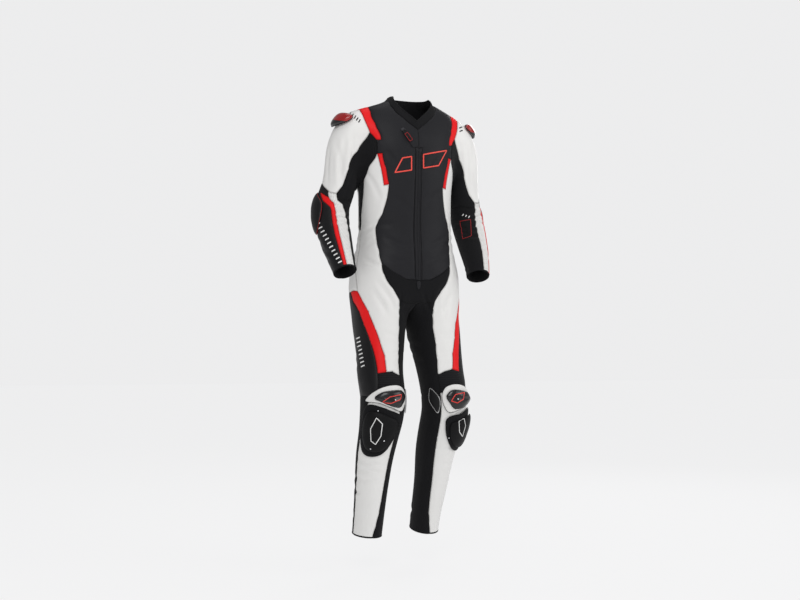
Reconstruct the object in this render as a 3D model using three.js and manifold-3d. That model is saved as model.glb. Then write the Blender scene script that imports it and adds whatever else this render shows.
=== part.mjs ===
// One-piece leather race suit, standing in its worn shape with nobody inside it.
// Millimetres, +Z up. The chest faces -Y and the wearer's left is +X.
// All tables give heights above the floor; the finished group is lowered so that
// the origin lies between the shoulders, where the wearer carries the suit.
import * as THREE from 'three';
import { mergeVertices } from 'three/addons/utils/BufferGeometryUtils.js';
import Module from 'manifold-3d';

const wasm = await Module();
wasm.setup();
const { Manifold } = wasm;

// Driving sizes
const SHOULDER_HEIGHT = 1500; // the origin above the floor
const LEATHER = 2.6; // wall of a leather panel
const STRETCH = 2.2; // wall of a stretch panel
const COLLAR_WALL = 2.4;
const SEAM_GAP = 0.3; // between two panels at a seam
const LAY_GAP = 0.9; // under a piece that lies on a panel
const ZIP_HALF = 8; // half the width of the zip between the fronts
const ZIP_SUNK = 0.8; // the zip lies this far below the leather
const BLEND_ARM = 22; // how softly the arm runs into the trunk
const BLEND_LEG = 40;
const LEFT = 1;
const RIGHT = -1;

// Looks
const BLACK_LEATHER = { color: 0x26262a, roughness: 0.55, metalness: 0 };
const WHITE_LEATHER = { color: 0xe8e7e4, roughness: 0.5, metalness: 0 };
const RED_LEATHER = { color: 0xe0201c, roughness: 0.5, metalness: 0 };
const STRETCH_CLOTH = { color: 0x17171a, roughness: 0.9, metalness: 0 };
const HARD_SHELL = { color: 0x141416, roughness: 0.25, metalness: 0 };
const SLIDER_BLACK = { color: 0x18181a, roughness: 0.5, metalness: 0 };
const ZIP_TAPE = { color: 0x0e0e10, roughness: 0.8, metalness: 0 };
const ZIP_METAL = { color: 0x3a3a3e, roughness: 0.35, metalness: 0.9 };
const SOFT_COLLAR = { color: 0x121214, roughness: 0.9, metalness: 0 };

// Trunk rings: height, half width, half depth, middle of the depth along Y
const TRUNK_POWER = 2.25; // 2 is an ellipse, more is squarer
const TRUNK = [
  [860, 160, 104, 6],
  [930, 178, 118, 6],
  [1000, 180, 118, 3],
  [1060, 170, 108, 0],
  [1120, 161, 102, 0],
  [1180, 160, 104, 0],
  [1250, 161, 109, 0],
  [1320, 166, 114, 0],
  [1380, 173, 115, -1],
  [1430, 177, 108, -3],
  [1460, 177, 97, -7],
  [1490, 175, 84, -11],
  [1506, 170, 76, -12],
  [1516, 162, 71, -13],
  [1524, 148, 68, -14],
  [1531, 129, 65, -15],
  [1538, 107, 62, -16],
  [1546, 88, 60, -18],
  [1556, 77, 58, -19],
  [1620, 72, 58, -20],
];
const TRUNK_FLOOR = 905; // below this the trunk rounds off
const TRUNK_CAP = 52;

// Limb rings: outward place, place along Y, height, half width, half depth
const ARM = {
  [RIGHT]: [
    [120, 2, 1466, 52, 56],
    [180, 2, 1456, 61, 64],
    [208, 8, 1400, 61, 64],
    [217, 16, 1335, 58, 62],
    [226, 24, 1270, 55, 59],
    [246, 30, 1205, 57, 61],
    [254, 14, 1160, 56, 58],
    [258, -30, 1095, 53, 54],
    [254, -80, 1020, 42, 44],
    [250, -104, 978, 37, 38],
  ],
  [LEFT]: [
    [120, 2, 1462, 52, 56],
    [180, 2, 1452, 61, 64],
    [206, 8, 1396, 61, 64],
    [217, 16, 1330, 57, 62],
    [227, 24, 1268, 54, 59],
    [240, 30, 1203, 55, 61],
    [242, 14, 1158, 54, 57],
    [236, -32, 1092, 50, 51],
    [226, -84, 1018, 41, 43],
    [220, -106, 976, 37, 38],
  ],
};
const LEG = {
  [RIGHT]: [
    [88, 8, 960, 88, 100],
    [92, 4, 900, 92, 104],
    [96, -6, 810, 87, 97],
    [99, -20, 740, 79, 85],
    [107, -40, 660, 75, 79],
    [105, -56, 590, 75, 77],
    [108, -62, 530, 73, 76],
    [115, -50, 460, 65, 70],
    [122, -32, 390, 61, 66],
    [125, -14, 300, 55, 60],
    [129, -2, 210, 51, 55],
    [133, 8, 130, 49, 52],
  ],
  [LEFT]: [
    [88, 8, 960, 88, 100],
    [92, 4, 900, 93, 104],
    [96, -12, 810, 91, 99],
    [101, -32, 740, 84, 90],
    [103, -60, 660, 77, 80],
    [105, -80, 590, 75, 78],
    [105, -82, 530, 74, 77],
    [98, -58, 460, 70, 73],
    [96, -28, 390, 65, 69],
    [97, 2, 300, 57, 61],
    [94, 30, 210, 52, 56],
    [91, 50, 130, 49, 52],
  ],
};

// Angles run round a trunk or limb from the front, 0, over the outer side, 90, to the back, 180.
// Upright seams of one half of the trunk, by column: height, angle
const TRUNK_SEAMS = {
  0: [[900, 0], [1550, 0]],
  1: [[900, 3], [1550, 4]],
  6: [
    [880, 16], [914, 23], [940, 30], [957, 36], [1007, 40], [1087, 51], [1130, 55], [1165, 45],
    [1215, 37], [1265, 34], [1375, 43], [1400, 42], [1425, 42], [1460, 48], [1500, 60], [1550, 66],
  ],
  7: [
    [880, 22], [914, 29], [940, 35], [957, 41], [1007, 45], [1087, 56], [1130, 60], [1165, 50],
    [1215, 41], [1265, 37.5], [1375, 46.5], [1400, 46], [1415, 47], [1440, 56], [1490, 71], [1550, 76],
  ],
  9: [[880, 70], [1120, 90], [1200, 87], [1290, 78], [1400, 84], [1550, 86]],
  10: [[880, 92], [1120, 94], [1200, 102], [1290, 100], [1400, 96], [1550, 94]],
  13: [[880, 138], [1120, 128], [1265, 140], [1400, 136], [1440, 124], [1500, 107], [1550, 104]],
  14: [[880, 143], [1120, 133], [1265, 145], [1400, 140], [1440, 133], [1500, 120], [1550, 114]],
  19: [[900, 180], [1550, 180]],
};
// Level seams of one half of the trunk, by row: angle, height
const TRUNK_ROWS = {
  0: [[0, 1447], [6, 1464], [15, 1490], [24, 1516], [38, 1536], [60, 1547], [90, 1551],
     [140, 1553], [180, 1553]],
  2: [[0, 1410], [20, 1436], [40, 1478], [60, 1510], [75, 1523], [90, 1527], [105, 1523],
     [125, 1508], [145, 1480], [180, 1455]],
  3: [[0, 1384], [20, 1406], [40, 1448], [58, 1474], [71, 1492], [90, 1503], [109, 1492],
     [125, 1474], [145, 1450], [180, 1425]],
  5: [[0, 1348], [45, 1430], [56, 1440], [90, 1440], [125, 1438], [180, 1380]],
  6: [[0, 1328], [45, 1411], [90, 1410], [130, 1410], [180, 1355]],
  8: [
    [0, 1288], [30, 1330], [45, 1375], [50, 1364], [57, 1351], [62, 1336], [69, 1310], [77, 1284],
    [90, 1270], [104, 1282], [118, 1303], [138, 1342], [150, 1328], [180, 1305],
  ],
  10: [[0, 1222], [37, 1265], [60, 1246], [90, 1222], [120, 1236], [142, 1250], [180, 1224]],
  13: [[0, 1122], [50, 1130], [90, 1128], [180, 1124]],
  16: [[0, 950], [20, 968], [40, 1006], [60, 1020], [90, 1030], [140, 1018], [180, 1000]],
  19: [[0, 880], [20, 890], [45, 908], [90, 926], [140, 906], [180, 882]],
};
const TRUNK_COLUMNS = 19;
const TRUNK_LAST_ROW = 19;
const ARMHOLE = { front: 7, back: 13, top: 3, pit: 8 };
const CROTCH = [[0, -60, 866], [0, 0, 856], [0, 58, 864]]; // points between front and back

// Sleeve columns 0..22: front edge of the armhole, over the top, down the back, under the arm
const ARM_COLUMNS = 22;
const ARM_SEAMS = {
  0: [[960, -50], [1150, -48], [1250, -42], [1380, -42]],
  3: [[960, -20], [1100, -18], [1150, -8], [1185, 2], [1215, 12], [1232, 14], [1262, 0],
     [1340, -12], [1400, -14]],
  5: [[960, 30], [1040, 30], [1157, 37], [1180, 34], [1232, 40], [1262, 28], [1400, 24]],
  6: [[960, 44], [1040, 46], [1157, 48], [1180, 56], [1228, 90], [1262, 70], [1400, 45]],
  8: [[960, 88], [1100, 88], [1180, 104], [1228, 122], [1262, 104], [1400, 90]],
  13: [[960, 200], [1100, 200], [1240, 210], [1400, 205]],
  16: [[960, 238], [1250, 238], [1400, 230]],
  22: [[960, 310], [1150, 312], [1250, 318], [1380, 318]],
};
const ARM_ROWS = {
  3: [
    [-45, 1326], [0, 1356], [45, 1374], [90, 1380], [135, 1366], [180, 1347], [225, 1320],
    [270, 1268], [315, 1326],
  ],
  7: [[-45, 1258], [0, 1242], [20, 1234], [43, 1233], [75, 1252], [113, 1272], [200, 1262], [260, 1250],
     [315, 1258]],
  8: [[-45, 1232], [0, 1214], [43, 1212], [90, 1230], [200, 1236], [260, 1226], [315, 1232]],
  18: [[-45, 980], [315, 980]],
};
const ARM_LAST_ROW = 18;
// How far the forearm is turned: height, degrees
const ARM_TWIST = {
  [RIGHT]: [[960, -24], [1100, -26], [1150, -28], [1190, -18], [1232, 4], [1300, 8], [1400, 6]],
  [LEFT]: [[960, 22], [1050, 18], [1100, 12], [1160, 6], [1232, 0], [1300, -10], [1400, -10]],
};

// Leg columns 0..23: half the trunk ring, then back along the crotch
const LEG_COLUMNS = 23;
const LEG_SEAMS = {
  0: [[100, -62], [500, -64], [860, -62]],
  6: [
    [100, 8], [160, -8], [230, -22], [330, -27], [430, -30], [560, -34], [600, -36],
    [690, -31], [750, -29], [800, -28], [855, -25], [880, -20],
  ],
  9: [[100, 45], [560, 15], [640, 3], [690, 10], [745, 22], [800, 35], [880, 60]],
  10: [[100, 60], [560, 40], [640, 26], [690, 34], [745, 46], [800, 58], [880, 80]],
  12: [[100, 92], [480, 84], [530, 72], [575, 46], [640, 80], [880, 112]],
  15: [[100, 150], [560, 150], [880, 158]],
  19: [[100, 220], [560, 222], [880, 222]],
  23: [[100, 298], [500, 296], [860, 298]],
};
const LEG_ROWS = {
  2: [[-62, 822], [0, 838], [90, 850], [180, 828], [222, 822], [298, 822]],
  6: [[-62, 640], [-34, 632], [0, 640], [26, 636], [60, 643], [90, 650], [180, 660], [298, 640]],
  8: [[-62, 588], [-34, 586], [-5, 594], [25, 586], [45, 575], [90, 580], [180, 594], [298, 588]],
  20: [[-62, 128], [298, 128]],
};
const LEG_LAST_ROW = 20;

// Small helpers for the tables
const radians = (degrees) => (degrees * Math.PI) / 180;

function readTable(table, x, column = 1) {
  const rising = table[0][0] < table[table.length - 1][0];
  const rows = rising ? table : [...table].reverse();
  if (x <= rows[0][0]) return rows[0][column];
  for (let i = 1; i < rows.length; i += 1) {
    if (x <= rows[i][0]) {
      const share = (x - rows[i - 1][0]) / (rows[i][0] - rows[i - 1][0]);
      const before = rows[Math.max(i - 2, 0)];
      const after = rows[Math.min(i + 1, rows.length - 1)];
      return easedStep(before, rows[i - 1], rows[i], after, share, column);
    }
  }
  return rows[rows.length - 1][column];
}

// Hermite step whose slopes never overshoot the table
function easedStep(before, from, to, after, share, column) {
  const run = to[0] - from[0];
  const rise = to[column] - from[column];
  const slope = rise / run;
  const slopeIn = from === before ? slope : (from[column] - before[column]) / (from[0] - before[0]);
  const slopeOut = to === after ? slope : (after[column] - to[column]) / (after[0] - to[0]);
  const start = slopeIn * slope > 0 ? (2 * slopeIn * slope) / (slopeIn + slope) : 0;
  const end = slopeOut * slope > 0 ? (2 * slopeOut * slope) / (slopeOut + slope) : 0;
  const s2 = share * share;
  const s3 = s2 * share;
  const lift = (s3 - 2 * s2 + share) * run * start + (s3 - s2) * run * end;
  return from[column] + (3 * s2 - 2 * s3) * rise + lift;
}

// Value between the seams of a table that is keyed by column or row number
function betweenSeams(seams, index, x) {
  const keys = Object.keys(seams).map(Number).sort((a, b) => a - b);
  const upper = keys.find((key) => key >= index);
  const lower = [...keys].reverse().find((key) => key <= index);
  if (upper === lower) return readTable(seams[upper], x);
  const share = (index - lower) / (upper - lower);
  const low = readTable(seams[lower], x);
  const high = readTable(seams[upper], x);
  return low + (high - low) * share;
}

// The trunk as a smooth body: place of a ring point, and how far any point is from its surface
const trunk = {
  place(side, angle, height) {
    const a = radians(angle);
    const wide = readTable(TRUNK, height, 1);
    const deep = readTable(TRUNK, height, 2);
    const middle = readTable(TRUNK, height, 3);
    const round = (value) => Math.sign(value) * Math.abs(value) ** (2 / TRUNK_POWER);
    return new THREE.Vector3(side * wide * round(Math.sin(a)), middle - deep * round(Math.cos(a)), height);
  },
  away(p) {
    const wide = readTable(TRUNK, p.z, 1);
    const deep = readTable(TRUNK, p.z, 2);
    const middle = readTable(TRUNK, p.z, 3);
    const across = Math.abs(p.x / wide) ** TRUNK_POWER;
    const along = Math.abs((p.y - middle) / deep) ** TRUNK_POWER;
    let reach = (across + along) ** (1 / TRUNK_POWER);
    if (p.z < TRUNK_FLOOR) reach = Math.hypot(reach, (TRUNK_FLOOR - p.z) / TRUNK_CAP);
    return (reach - 1) * Math.min(wide, deep);
  },
};

// A limb as a smooth body round its middle line
const LIMB_STEPS = 60;
function makeLimb(side, rings) {
  const middles = rings.map(([out, y, z]) => new THREE.Vector3(side * out, y, z));
  const line = new THREE.CatmullRomCurve3(middles, false, 'centripetal');
  const stops = [];
  for (let i = 0; i <= LIMB_STEPS; i += 1) stops.push(line.getPoint(i / LIMB_STEPS));
  const widths = rings.map(([, , z, wide]) => [z, wide]);
  const depths = rings.map(([, , z, , deep]) => [z, deep]);

  function frame(middle, along) {
    const front = new THREE.Vector3(0, -1, 0);
    front.addScaledVector(along, -front.dot(along)).normalize();
    const out = new THREE.Vector3().crossVectors(front, along).normalize();
    if (out.x * side < 0) out.negate();
    const wide = readTable(widths, middle.z);
    const deep = readTable(depths, middle.z);
    return { middle, along, front, out, wide, deep };
  }

  function atHeight(height) {
    let i = 1;
    while (i < LIMB_STEPS && stops[i].z > height) i += 1;
    const drop = stops[i - 1].z - stops[i].z;
    const share = (stops[i - 1].z - height) / drop;
    const middle = stops[i - 1].clone().lerp(stops[i], share);
    return frame(middle, stops[i].clone().sub(stops[i - 1]).normalize());
  }

  return {
    side,
    place(angle, height) {
      const { middle, front, out, wide, deep } = atHeight(height);
      const a = radians(angle);
      return middle
        .clone()
        .addScaledVector(front, deep * Math.cos(a))
        .addScaledVector(out, wide * Math.sin(a));
    },
    frameAt: atHeight,
    away(p) {
      let best = null;
      for (let i = 1; i <= LIMB_STEPS; i += 1) {
        const step = stops[i].clone().sub(stops[i - 1]);
        const length = step.length();
        step.divideScalar(length);
        const run = p.clone().sub(stops[i - 1]).dot(step);
        const held = Math.min(Math.max(run, 0), length);
        const foot = stops[i - 1].clone().addScaledVector(step, held);
        const distance = foot.distanceTo(p);
        if (best === null || distance < best.distance) best = { distance, foot, step, past: run - held };
      }
      const { front, out, wide, deep } = frame(best.foot, best.step);
      const off = p.clone().sub(best.foot);
      const atEnd = best.foot === stops[0] || best.past !== 0 ? off.dot(best.step) : 0;
      const reach = Math.hypot(off.dot(out) / wide, off.dot(front) / deep, atEnd / wide);
      return (reach - 1) * Math.min(wide, deep);
    },
  };
}

const arms = { [LEFT]: makeLimb(LEFT, ARM[LEFT]), [RIGHT]: makeLimb(RIGHT, ARM[RIGHT]) };
const legs = { [LEFT]: makeLimb(LEFT, LEG[LEFT]), [RIGHT]: makeLimb(RIGHT, LEG[RIGHT]) };

function softLess(a, b, soft) {
  const near = Math.max(soft - Math.abs(a - b), 0) / soft;
  return Math.min(a, b) - near * near * soft * 0.25;
}

const wholeBody = (p) => {
  const side = p.x < 0 ? RIGHT : LEFT;
  const upper = softLess(trunk.away(p), arms[side].away(p), BLEND_ARM);
  return softLess(upper, legs[side].away(p), BLEND_LEG);
};
const underArm = (p) => softLess(trunk.away(p), legs[p.x < 0 ? RIGHT : LEFT].away(p), BLEND_LEG);
const armBody = (side) => (p) => softLess(trunk.away(p), arms[side].away(p), BLEND_ARM);
const legBody = (side) => (p) => softLess(trunk.away(p), legs[side].away(p), BLEND_LEG);

// Large folds of the leather: limb, side, start and end as angle and height, depth, half width
const FOLDS = [
  ['arm', RIGHT, 60, 1350, 40, 1270, 3.0, 12],
  ['arm', RIGHT, 92, 1372, 84, 1290, 3.4, 13],
  ['arm', RIGHT, 20, 1340, 22, 1275, 2.4, 11],
  ['arm', RIGHT, 150, 1350, 140, 1275, 3.0, 13],
  ['arm', LEFT, 58, 1345, 44, 1268, 3.2, 12],
  ['arm', LEFT, 96, 1368, 88, 1285, 2.8, 13],
  ['arm', LEFT, 152, 1342, 140, 1270, 3.2, 13],
  ['trunk', RIGHT, 52, 1020, 88, 1042, 3.6, 12],
  ['trunk', LEFT, 50, 1022, 86, 1038, 3.2, 12],
  ['trunk', RIGHT, 60, 1100, 100, 1122, 2.6, 14],
  ['trunk', LEFT, 62, 1096, 98, 1126, 2.8, 14],
  ['leg', RIGHT, 150, 560, 215, 548, 5.0, 14],
  ['leg', LEFT, 152, 566, 214, 550, 5.0, 14],
  ['leg', RIGHT, -10, 215, 60, 228, 2.6, 12],
  ['leg', LEFT, -14, 222, 55, 210, 2.8, 12],
  ['leg', RIGHT, 10, 178, 75, 186, 2.6, 11],
  ['leg', LEFT, 5, 182, 70, 172, 2.4, 11],
  ['leg', RIGHT, -18, 760, 14, 742, 2.4, 13],
  ['leg', LEFT, -20, 752, 12, 738, 2.6, 13],
].map(([part, side, angleA, heightA, angleB, heightB, depth, half]) => {
  const limb = { arm: arms[side], leg: legs[side] }[part];
  const at = (angle, height) => (limb ? limb.place(angle, height) : trunk.place(side, angle, height));
  return { from: at(angleA, heightA), to: at(angleB, heightB), depth, half };
});

function foldDepth(p) {
  let sunk = 0;
  for (const { from, to, depth, half } of FOLDS) {
    const line = to.clone().sub(from);
    const share = Math.min(Math.max(p.clone().sub(from).dot(line) / line.lengthSq(), 0), 1);
    const distance = from.clone().addScaledVector(line, share).distanceTo(p);
    sunk += depth * Math.exp(-((distance / half) ** 2));
  }
  return sunk;
}

// Bring a rough point onto the surface of a body; gives the point and the way out of the cloth
const SETTLE_STEPS = 16;
const SETTLE_LIMIT = 14;
const PROBE = 0.4;
let knotCount = 0;
function slopeOf(body, p) {
  const slope = new THREE.Vector3();
  for (const axis of ['x', 'y', 'z']) {
    const ahead = p.clone();
    const behind = p.clone();
    ahead[axis] += PROBE;
    behind[axis] -= PROBE;
    slope[axis] = (body(ahead) - body(behind)) / (2 * PROBE);
  }
  return slope;
}

function settle(body, rough, folded = true) {
  const p = rough.clone();
  for (let i = 0; i < SETTLE_STEPS; i += 1) {
    const slope = slopeOf(body, p);
    const step = body(p) / slope.lengthSq();
    const length = Math.abs(step) * slope.length();
    p.addScaledVector(slope, -step * Math.min(1, SETTLE_LIMIT / Math.max(length, 1e-6)));
  }
  const out = slopeOf(body, p).normalize();
  if (folded) p.addScaledVector(out, -foldDepth(p));
  knotCount += 1;
  return { id: knotCount, p, out };
}

// Place of a column and row crossing: walk between the two tables until they agree
const CROSSING_STEPS = 12;
function crossing(columns, rows, column, row) {
  let height = betweenSeams(rows, row, 45);
  let angle = betweenSeams(columns, column, height);
  for (let i = 0; i < CROSSING_STEPS; i += 1) {
    angle = betweenSeams(columns, column, height);
    height = (height + betweenSeams(rows, row, angle)) / 2;
  }
  return [angle, height];
}

// Knots of the trunk: [side][row][column]; the two halves share the middle front and back
const trunkKnots = { [LEFT]: [], [RIGHT]: [] };
for (let row = 0; row <= TRUNK_LAST_ROW; row += 1) {
  for (const side of [LEFT, RIGHT]) {
    trunkKnots[side][row] = [];
    for (let column = 0; column <= TRUNK_COLUMNS; column += 1) {
      const middle = column === 0 || column === TRUNK_COLUMNS;
      if (middle && side === RIGHT) {
        trunkKnots[RIGHT][row][column] = trunkKnots[LEFT][row][column];
        continue;
      }
      const [angle, height] = crossing(TRUNK_SEAMS, TRUNK_ROWS, column, row);
      const rough = trunk.place(side, angle, height);
      if (middle) rough.x = 0;
      if (column === 1) rough.x = side * ZIP_HALF;
      const knot = settle(row > ARMHOLE.pit ? underArm : wholeBody, rough);
      if (middle) {
        knot.p.x = 0;
        knot.out.setX(0).normalize();
      }
      if (column === 1) knot.p.x = side * ZIP_HALF;
      trunkKnots[side][row][column] = knot;
    }
  }
}

// Knots of a sleeve: row 0 is the armhole, rows 1 and 2 run from it to the first free ring
const ARM_FREE_ROW = 3;
function armholeKnots(side) {
  const { front, back, top, pit } = ARMHOLE;
  const knots = trunkKnots[side];
  const loop = [];
  for (let row = pit; row > top; row -= 1) loop.push(knots[row][front]);
  for (let column = front; column < back; column += 1) loop.push(knots[top][column]);
  for (let row = top; row < pit; row += 1) loop.push(knots[row][back]);
  for (let column = back; column > front; column -= 1) loop.push(knots[pit][column]);
  return loop;
}

function sleeveKnots(side) {
  const limb = arms[side];
  const body = armBody(side);
  const grid = [armholeKnots(side)];
  for (let row = ARM_FREE_ROW; row <= ARM_LAST_ROW; row += 1) {
    grid[row] = [];
    for (let column = 0; column < ARM_COLUMNS; column += 1) {
      const [angle, height] = crossing(ARM_SEAMS, ARM_ROWS, column, row);
      const turned = angle + readTable(ARM_TWIST[side], height);
      grid[row][column] = settle((p) => limb.away(p), limb.place(turned, height));
    }
  }
  for (let row = 1; row < ARM_FREE_ROW; row += 1) {
    grid[row] = [];
    for (let column = 0; column < ARM_COLUMNS; column += 1) {
      const start = grid[0][column].p;
      const end = grid[ARM_FREE_ROW][column].p;
      grid[row][column] = settle(body, start.clone().lerp(end, row / ARM_FREE_ROW));
    }
  }
  return grid;
}

// Knots of a leg: row 0 is half the last trunk ring and the crotch line
const LEG_FREE_ROW = 2;
const crotchKnots = CROTCH.map(([x, y, z]) => {
  knotCount += 1;
  return { id: knotCount, p: new THREE.Vector3(x, y, z), out: new THREE.Vector3(0, 0, -1) };
});

function legKnots(side) {
  const limb = legs[side];
  const body = legBody(side);
  const top = trunkKnots[side][TRUNK_LAST_ROW];
  const grid = [[...top, ...[...crotchKnots].reverse()]];
  for (let row = LEG_FREE_ROW; row <= LEG_LAST_ROW; row += 1) {
    grid[row] = [];
    for (let column = 0; column < LEG_COLUMNS; column += 1) {
      const [angle, height] = crossing(LEG_SEAMS, LEG_ROWS, column, row);
      const surface = row < LEG_FREE_ROW + 2 ? body : (p) => limb.away(p);
      grid[row][column] = settle(surface, limb.place(angle, height));
    }
  }
  grid[1] = [];
  for (let column = 0; column < LEG_COLUMNS; column += 1) {
    const start = grid[0][column].p;
    const end = grid[LEG_FREE_ROW][column].p;
    grid[1][column] = settle(body, start.clone().lerp(end, 0.5));
  }
  return grid;
}

const sleeves = { [LEFT]: sleeveKnots(LEFT), [RIGHT]: sleeveKnots(RIGHT) };
const trousers = { [LEFT]: legKnots(LEFT), [RIGHT]: legKnots(RIGHT) };

const suit = new THREE.Group();
suit.name = 'race_suit';

// The way out at each knot is taken again from the cells round it, so that both walls at a seam agree
function weighCells(list, sums) {
  for (const quad of list) {
    const a = quad[2].p.clone().sub(quad[0].p);
    const b = quad[3].p.clone().sub(quad[1].p);
    const out = a.cross(b);
    for (const knot of quad) sums.set(knot, (sums.get(knot) ?? new THREE.Vector3()).add(out));
  }
}

function addSolid(name, points, triangles, look) {
  const geometry = new THREE.BufferGeometry();
  const numbers = points.flatMap((p) => [p.x, p.y, p.z]);
  geometry.setAttribute('position', new THREE.Float32BufferAttribute(numbers, 3));
  geometry.setIndex(triangles.flat());
  geometry.translate(0, 0, -SHOULDER_HEIGHT);
  geometry.computeVertexNormals();
  const mesh = new THREE.Mesh(geometry, new THREE.MeshStandardMaterial(look));
  mesh.name = name;
  suit.add(mesh);
  return mesh;
}

// Four knots round each cell of the block [fromColumn, toColumn) x [fromRow, toRow), turned to face outward
function cells(grid, fromColumn, toColumn, fromRow, toRow, ring = 0) {
  const list = [];
  let facing = 0;
  for (let row = fromRow; row < toRow; row += 1) {
    for (let column = fromColumn; column < toColumn; column += 1) {
      const here = ring ? column % ring : column;
      const next = ring ? (column + 1) % ring : column + 1;
      const quad = [grid[row][here], grid[row][next], grid[row + 1][next], grid[row + 1][here]];
      const a = quad[2].p.clone().sub(quad[0].p);
      const b = quad[3].p.clone().sub(quad[1].p);
      facing += a.cross(b).dot(quad[0].out);
      list.push(quad);
    }
  }
  return facing > 0 ? list : list.map((quad) => [...quad].reverse());
}

// A panel: its cells as one sheet with a wall, each free edge drawn in by half the seam gap
function addPanel(name, faces, look, wall = LEATHER, lift = 0) {
  const edges = new Map();
  for (const face of faces) {
    face.forEach((knot, i) => {
      const next = face[(i + 1) % 4];
      edges.set(`${knot.id} ${next.id}`, [knot, next]);
    });
  }
  const knots = [...new Set(faces.flat())];
  const rims = [...edges.values()].filter(([from, to]) => !edges.has(`${to.id} ${from.id}`));
  const inward = new Map();
  for (const [from, to] of rims) {
    for (const knot of [from, to]) {
      const along = to.p.clone().sub(from.p);
      const way = new THREE.Vector3().crossVectors(knot.out, along).normalize();
      inward.set(knot, [...(inward.get(knot) ?? []), way]);
    }
  }
  const number = new Map(knots.map((knot, i) => [knot, i]));
  const places = knots.map((knot) => {
    const ways = inward.get(knot) ?? [];
    const place = knot.p.clone();
    if (ways.length >= 2) {
      const share = 1 + Math.max(ways[0].dot(ways[1]), -0.4);
      place.addScaledVector(ways[0].clone().add(ways[1]), SEAM_GAP / 2 / share);
    }
    return place;
  });
  const outer = knots.map((knot, i) => places[i].clone().addScaledVector(knot.out, lift));
  const inner = knots.map((knot, i) => places[i].clone().addScaledVector(knot.out, lift - wall));
  const triangles = [];
  const count = knots.length;
  for (const face of faces) {
    const [a, b, c, d] = face.map((knot) => number.get(knot));
    const short = places[a].distanceTo(places[c]) <= places[b].distanceTo(places[d]);
    const pairs = short ? [[a, b, c], [a, c, d]] : [[a, b, d], [b, c, d]];
    for (const [i, j, k] of pairs) {
      triangles.push([i, j, k], [count + i, count + k, count + j]);
    }
  }
  for (const [from, to] of rims) {
    const a = number.get(from);
    const b = number.get(to);
    // the same diagonal on both panels of a seam
    if (from.id < to.id) triangles.push([b, a, count + b], [a, count + a, count + b]);
    else triangles.push([b, a, count + a], [b, count + a, count + b]);
  }
  return addSolid(name, [...outer, ...inner], triangles, look);
}

{
  const sums = new Map();
  const { front, back, top, pit } = ARMHOLE;
  for (const side of [LEFT, RIGHT]) {
    weighCells(cells(trunkKnots[side], 0, TRUNK_COLUMNS, 0, top), sums);
    weighCells(cells(trunkKnots[side], 0, front, top, pit), sums);
    weighCells(cells(trunkKnots[side], back, TRUNK_COLUMNS, top, pit), sums);
    weighCells(cells(trunkKnots[side], 0, TRUNK_COLUMNS, pit, TRUNK_LAST_ROW), sums);
    weighCells(cells(sleeves[side], 0, ARM_COLUMNS, 0, ARM_LAST_ROW, ARM_COLUMNS), sums);
    weighCells(cells(trousers[side], 0, LEG_COLUMNS, 0, LEG_LAST_ROW, LEG_COLUMNS), sums);
  }
  for (const [knot, out] of sums) knot.out.copy(out.normalize());
}

const sideName = { [LEFT]: 'left', [RIGHT]: 'right' };
const HEM_ROW = 16;
const ZIP_TOP_ROW = 3;
const TIP_ROW = 6;
const PIPING_ROW = 10;
const STRIP_ROW = 13;
const WAIST_ROW = 12;
const SEAT_ROW = 15;

// Trunk panels. Each block of cells is given as from column, to column, from row, to row.
for (const side of [LEFT, RIGHT]) {
  const grid = trunkKnots[side];
  const name = sideName[side];
  addPanel(`front_${name}`, [
    ...cells(grid, 0, 1, 0, ZIP_TOP_ROW),
    ...cells(grid, 1, 6, 0, HEM_ROW),
    ...cells(grid, 6, 10, 0, 2),
    ...cells(grid, 6, 7, TIP_ROW, 8),
  ], BLACK_LEATHER);
  addPanel(`shoulder_stripe_${name}`, [
    ...cells(grid, 6, 14, 2, 3),
    ...cells(grid, 6, 7, 3, TIP_ROW),
    ...cells(grid, 13, 14, 3, TIP_ROW),
  ], RED_LEATHER);
  addPanel(`chest_stripe_${name}`, cells(grid, 6, 7, 8, PIPING_ROW), RED_LEATHER);
  addPanel(`side_${name}`, [
    ...cells(grid, 7, 9, 8, PIPING_ROW),
    ...cells(grid, 6, 9, PIPING_ROW, TRUNK_LAST_ROW),
    ...cells(trousers[side], 6, 9, 0, 6),
  ], WHITE_LEATHER);
  addPanel(`side_strip_${name}`, cells(grid, 9, 10, 8, STRIP_ROW), STRETCH_CLOTH, STRETCH);
  addPanel(`side_back_${name}`, [
    ...cells(grid, 10, 14, 8, STRIP_ROW),
    ...cells(grid, 9, 14, STRIP_ROW, TRUNK_LAST_ROW),
  ], WHITE_LEATHER);
}

const bothBacks = (fromColumn, toColumn, fromRow, toRow) =>
  [LEFT, RIGHT].flatMap((side) => cells(trunkKnots[side], fromColumn, toColumn, fromRow, toRow));
addPanel('back_upper', [
  ...bothBacks(14, 19, 0, WAIST_ROW),
  ...bothBacks(10, 14, 0, 2),
  ...bothBacks(13, 14, TIP_ROW, 8),
], BLACK_LEATHER);
addPanel('back_waist', bothBacks(14, 19, WAIST_ROW, SEAT_ROW), STRETCH_CLOTH, STRETCH);
addPanel('seat', bothBacks(14, 19, SEAT_ROW, TRUNK_LAST_ROW), BLACK_LEATHER);
addPanel('zip', [
  ...cells(trunkKnots[LEFT], 0, 1, ZIP_TOP_ROW, HEM_ROW),
  ...cells(trunkKnots[RIGHT], 0, 1, ZIP_TOP_ROW, HEM_ROW),
], ZIP_TAPE, LEATHER - ZIP_SUNK, -ZIP_SUNK);
addPanel('crotch_front', [
  ...cells(trunkKnots[LEFT], 0, 6, HEM_ROW, TRUNK_LAST_ROW),
  ...cells(trunkKnots[RIGHT], 0, 6, HEM_ROW, TRUNK_LAST_ROW),
], STRETCH_CLOTH, STRETCH);

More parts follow.
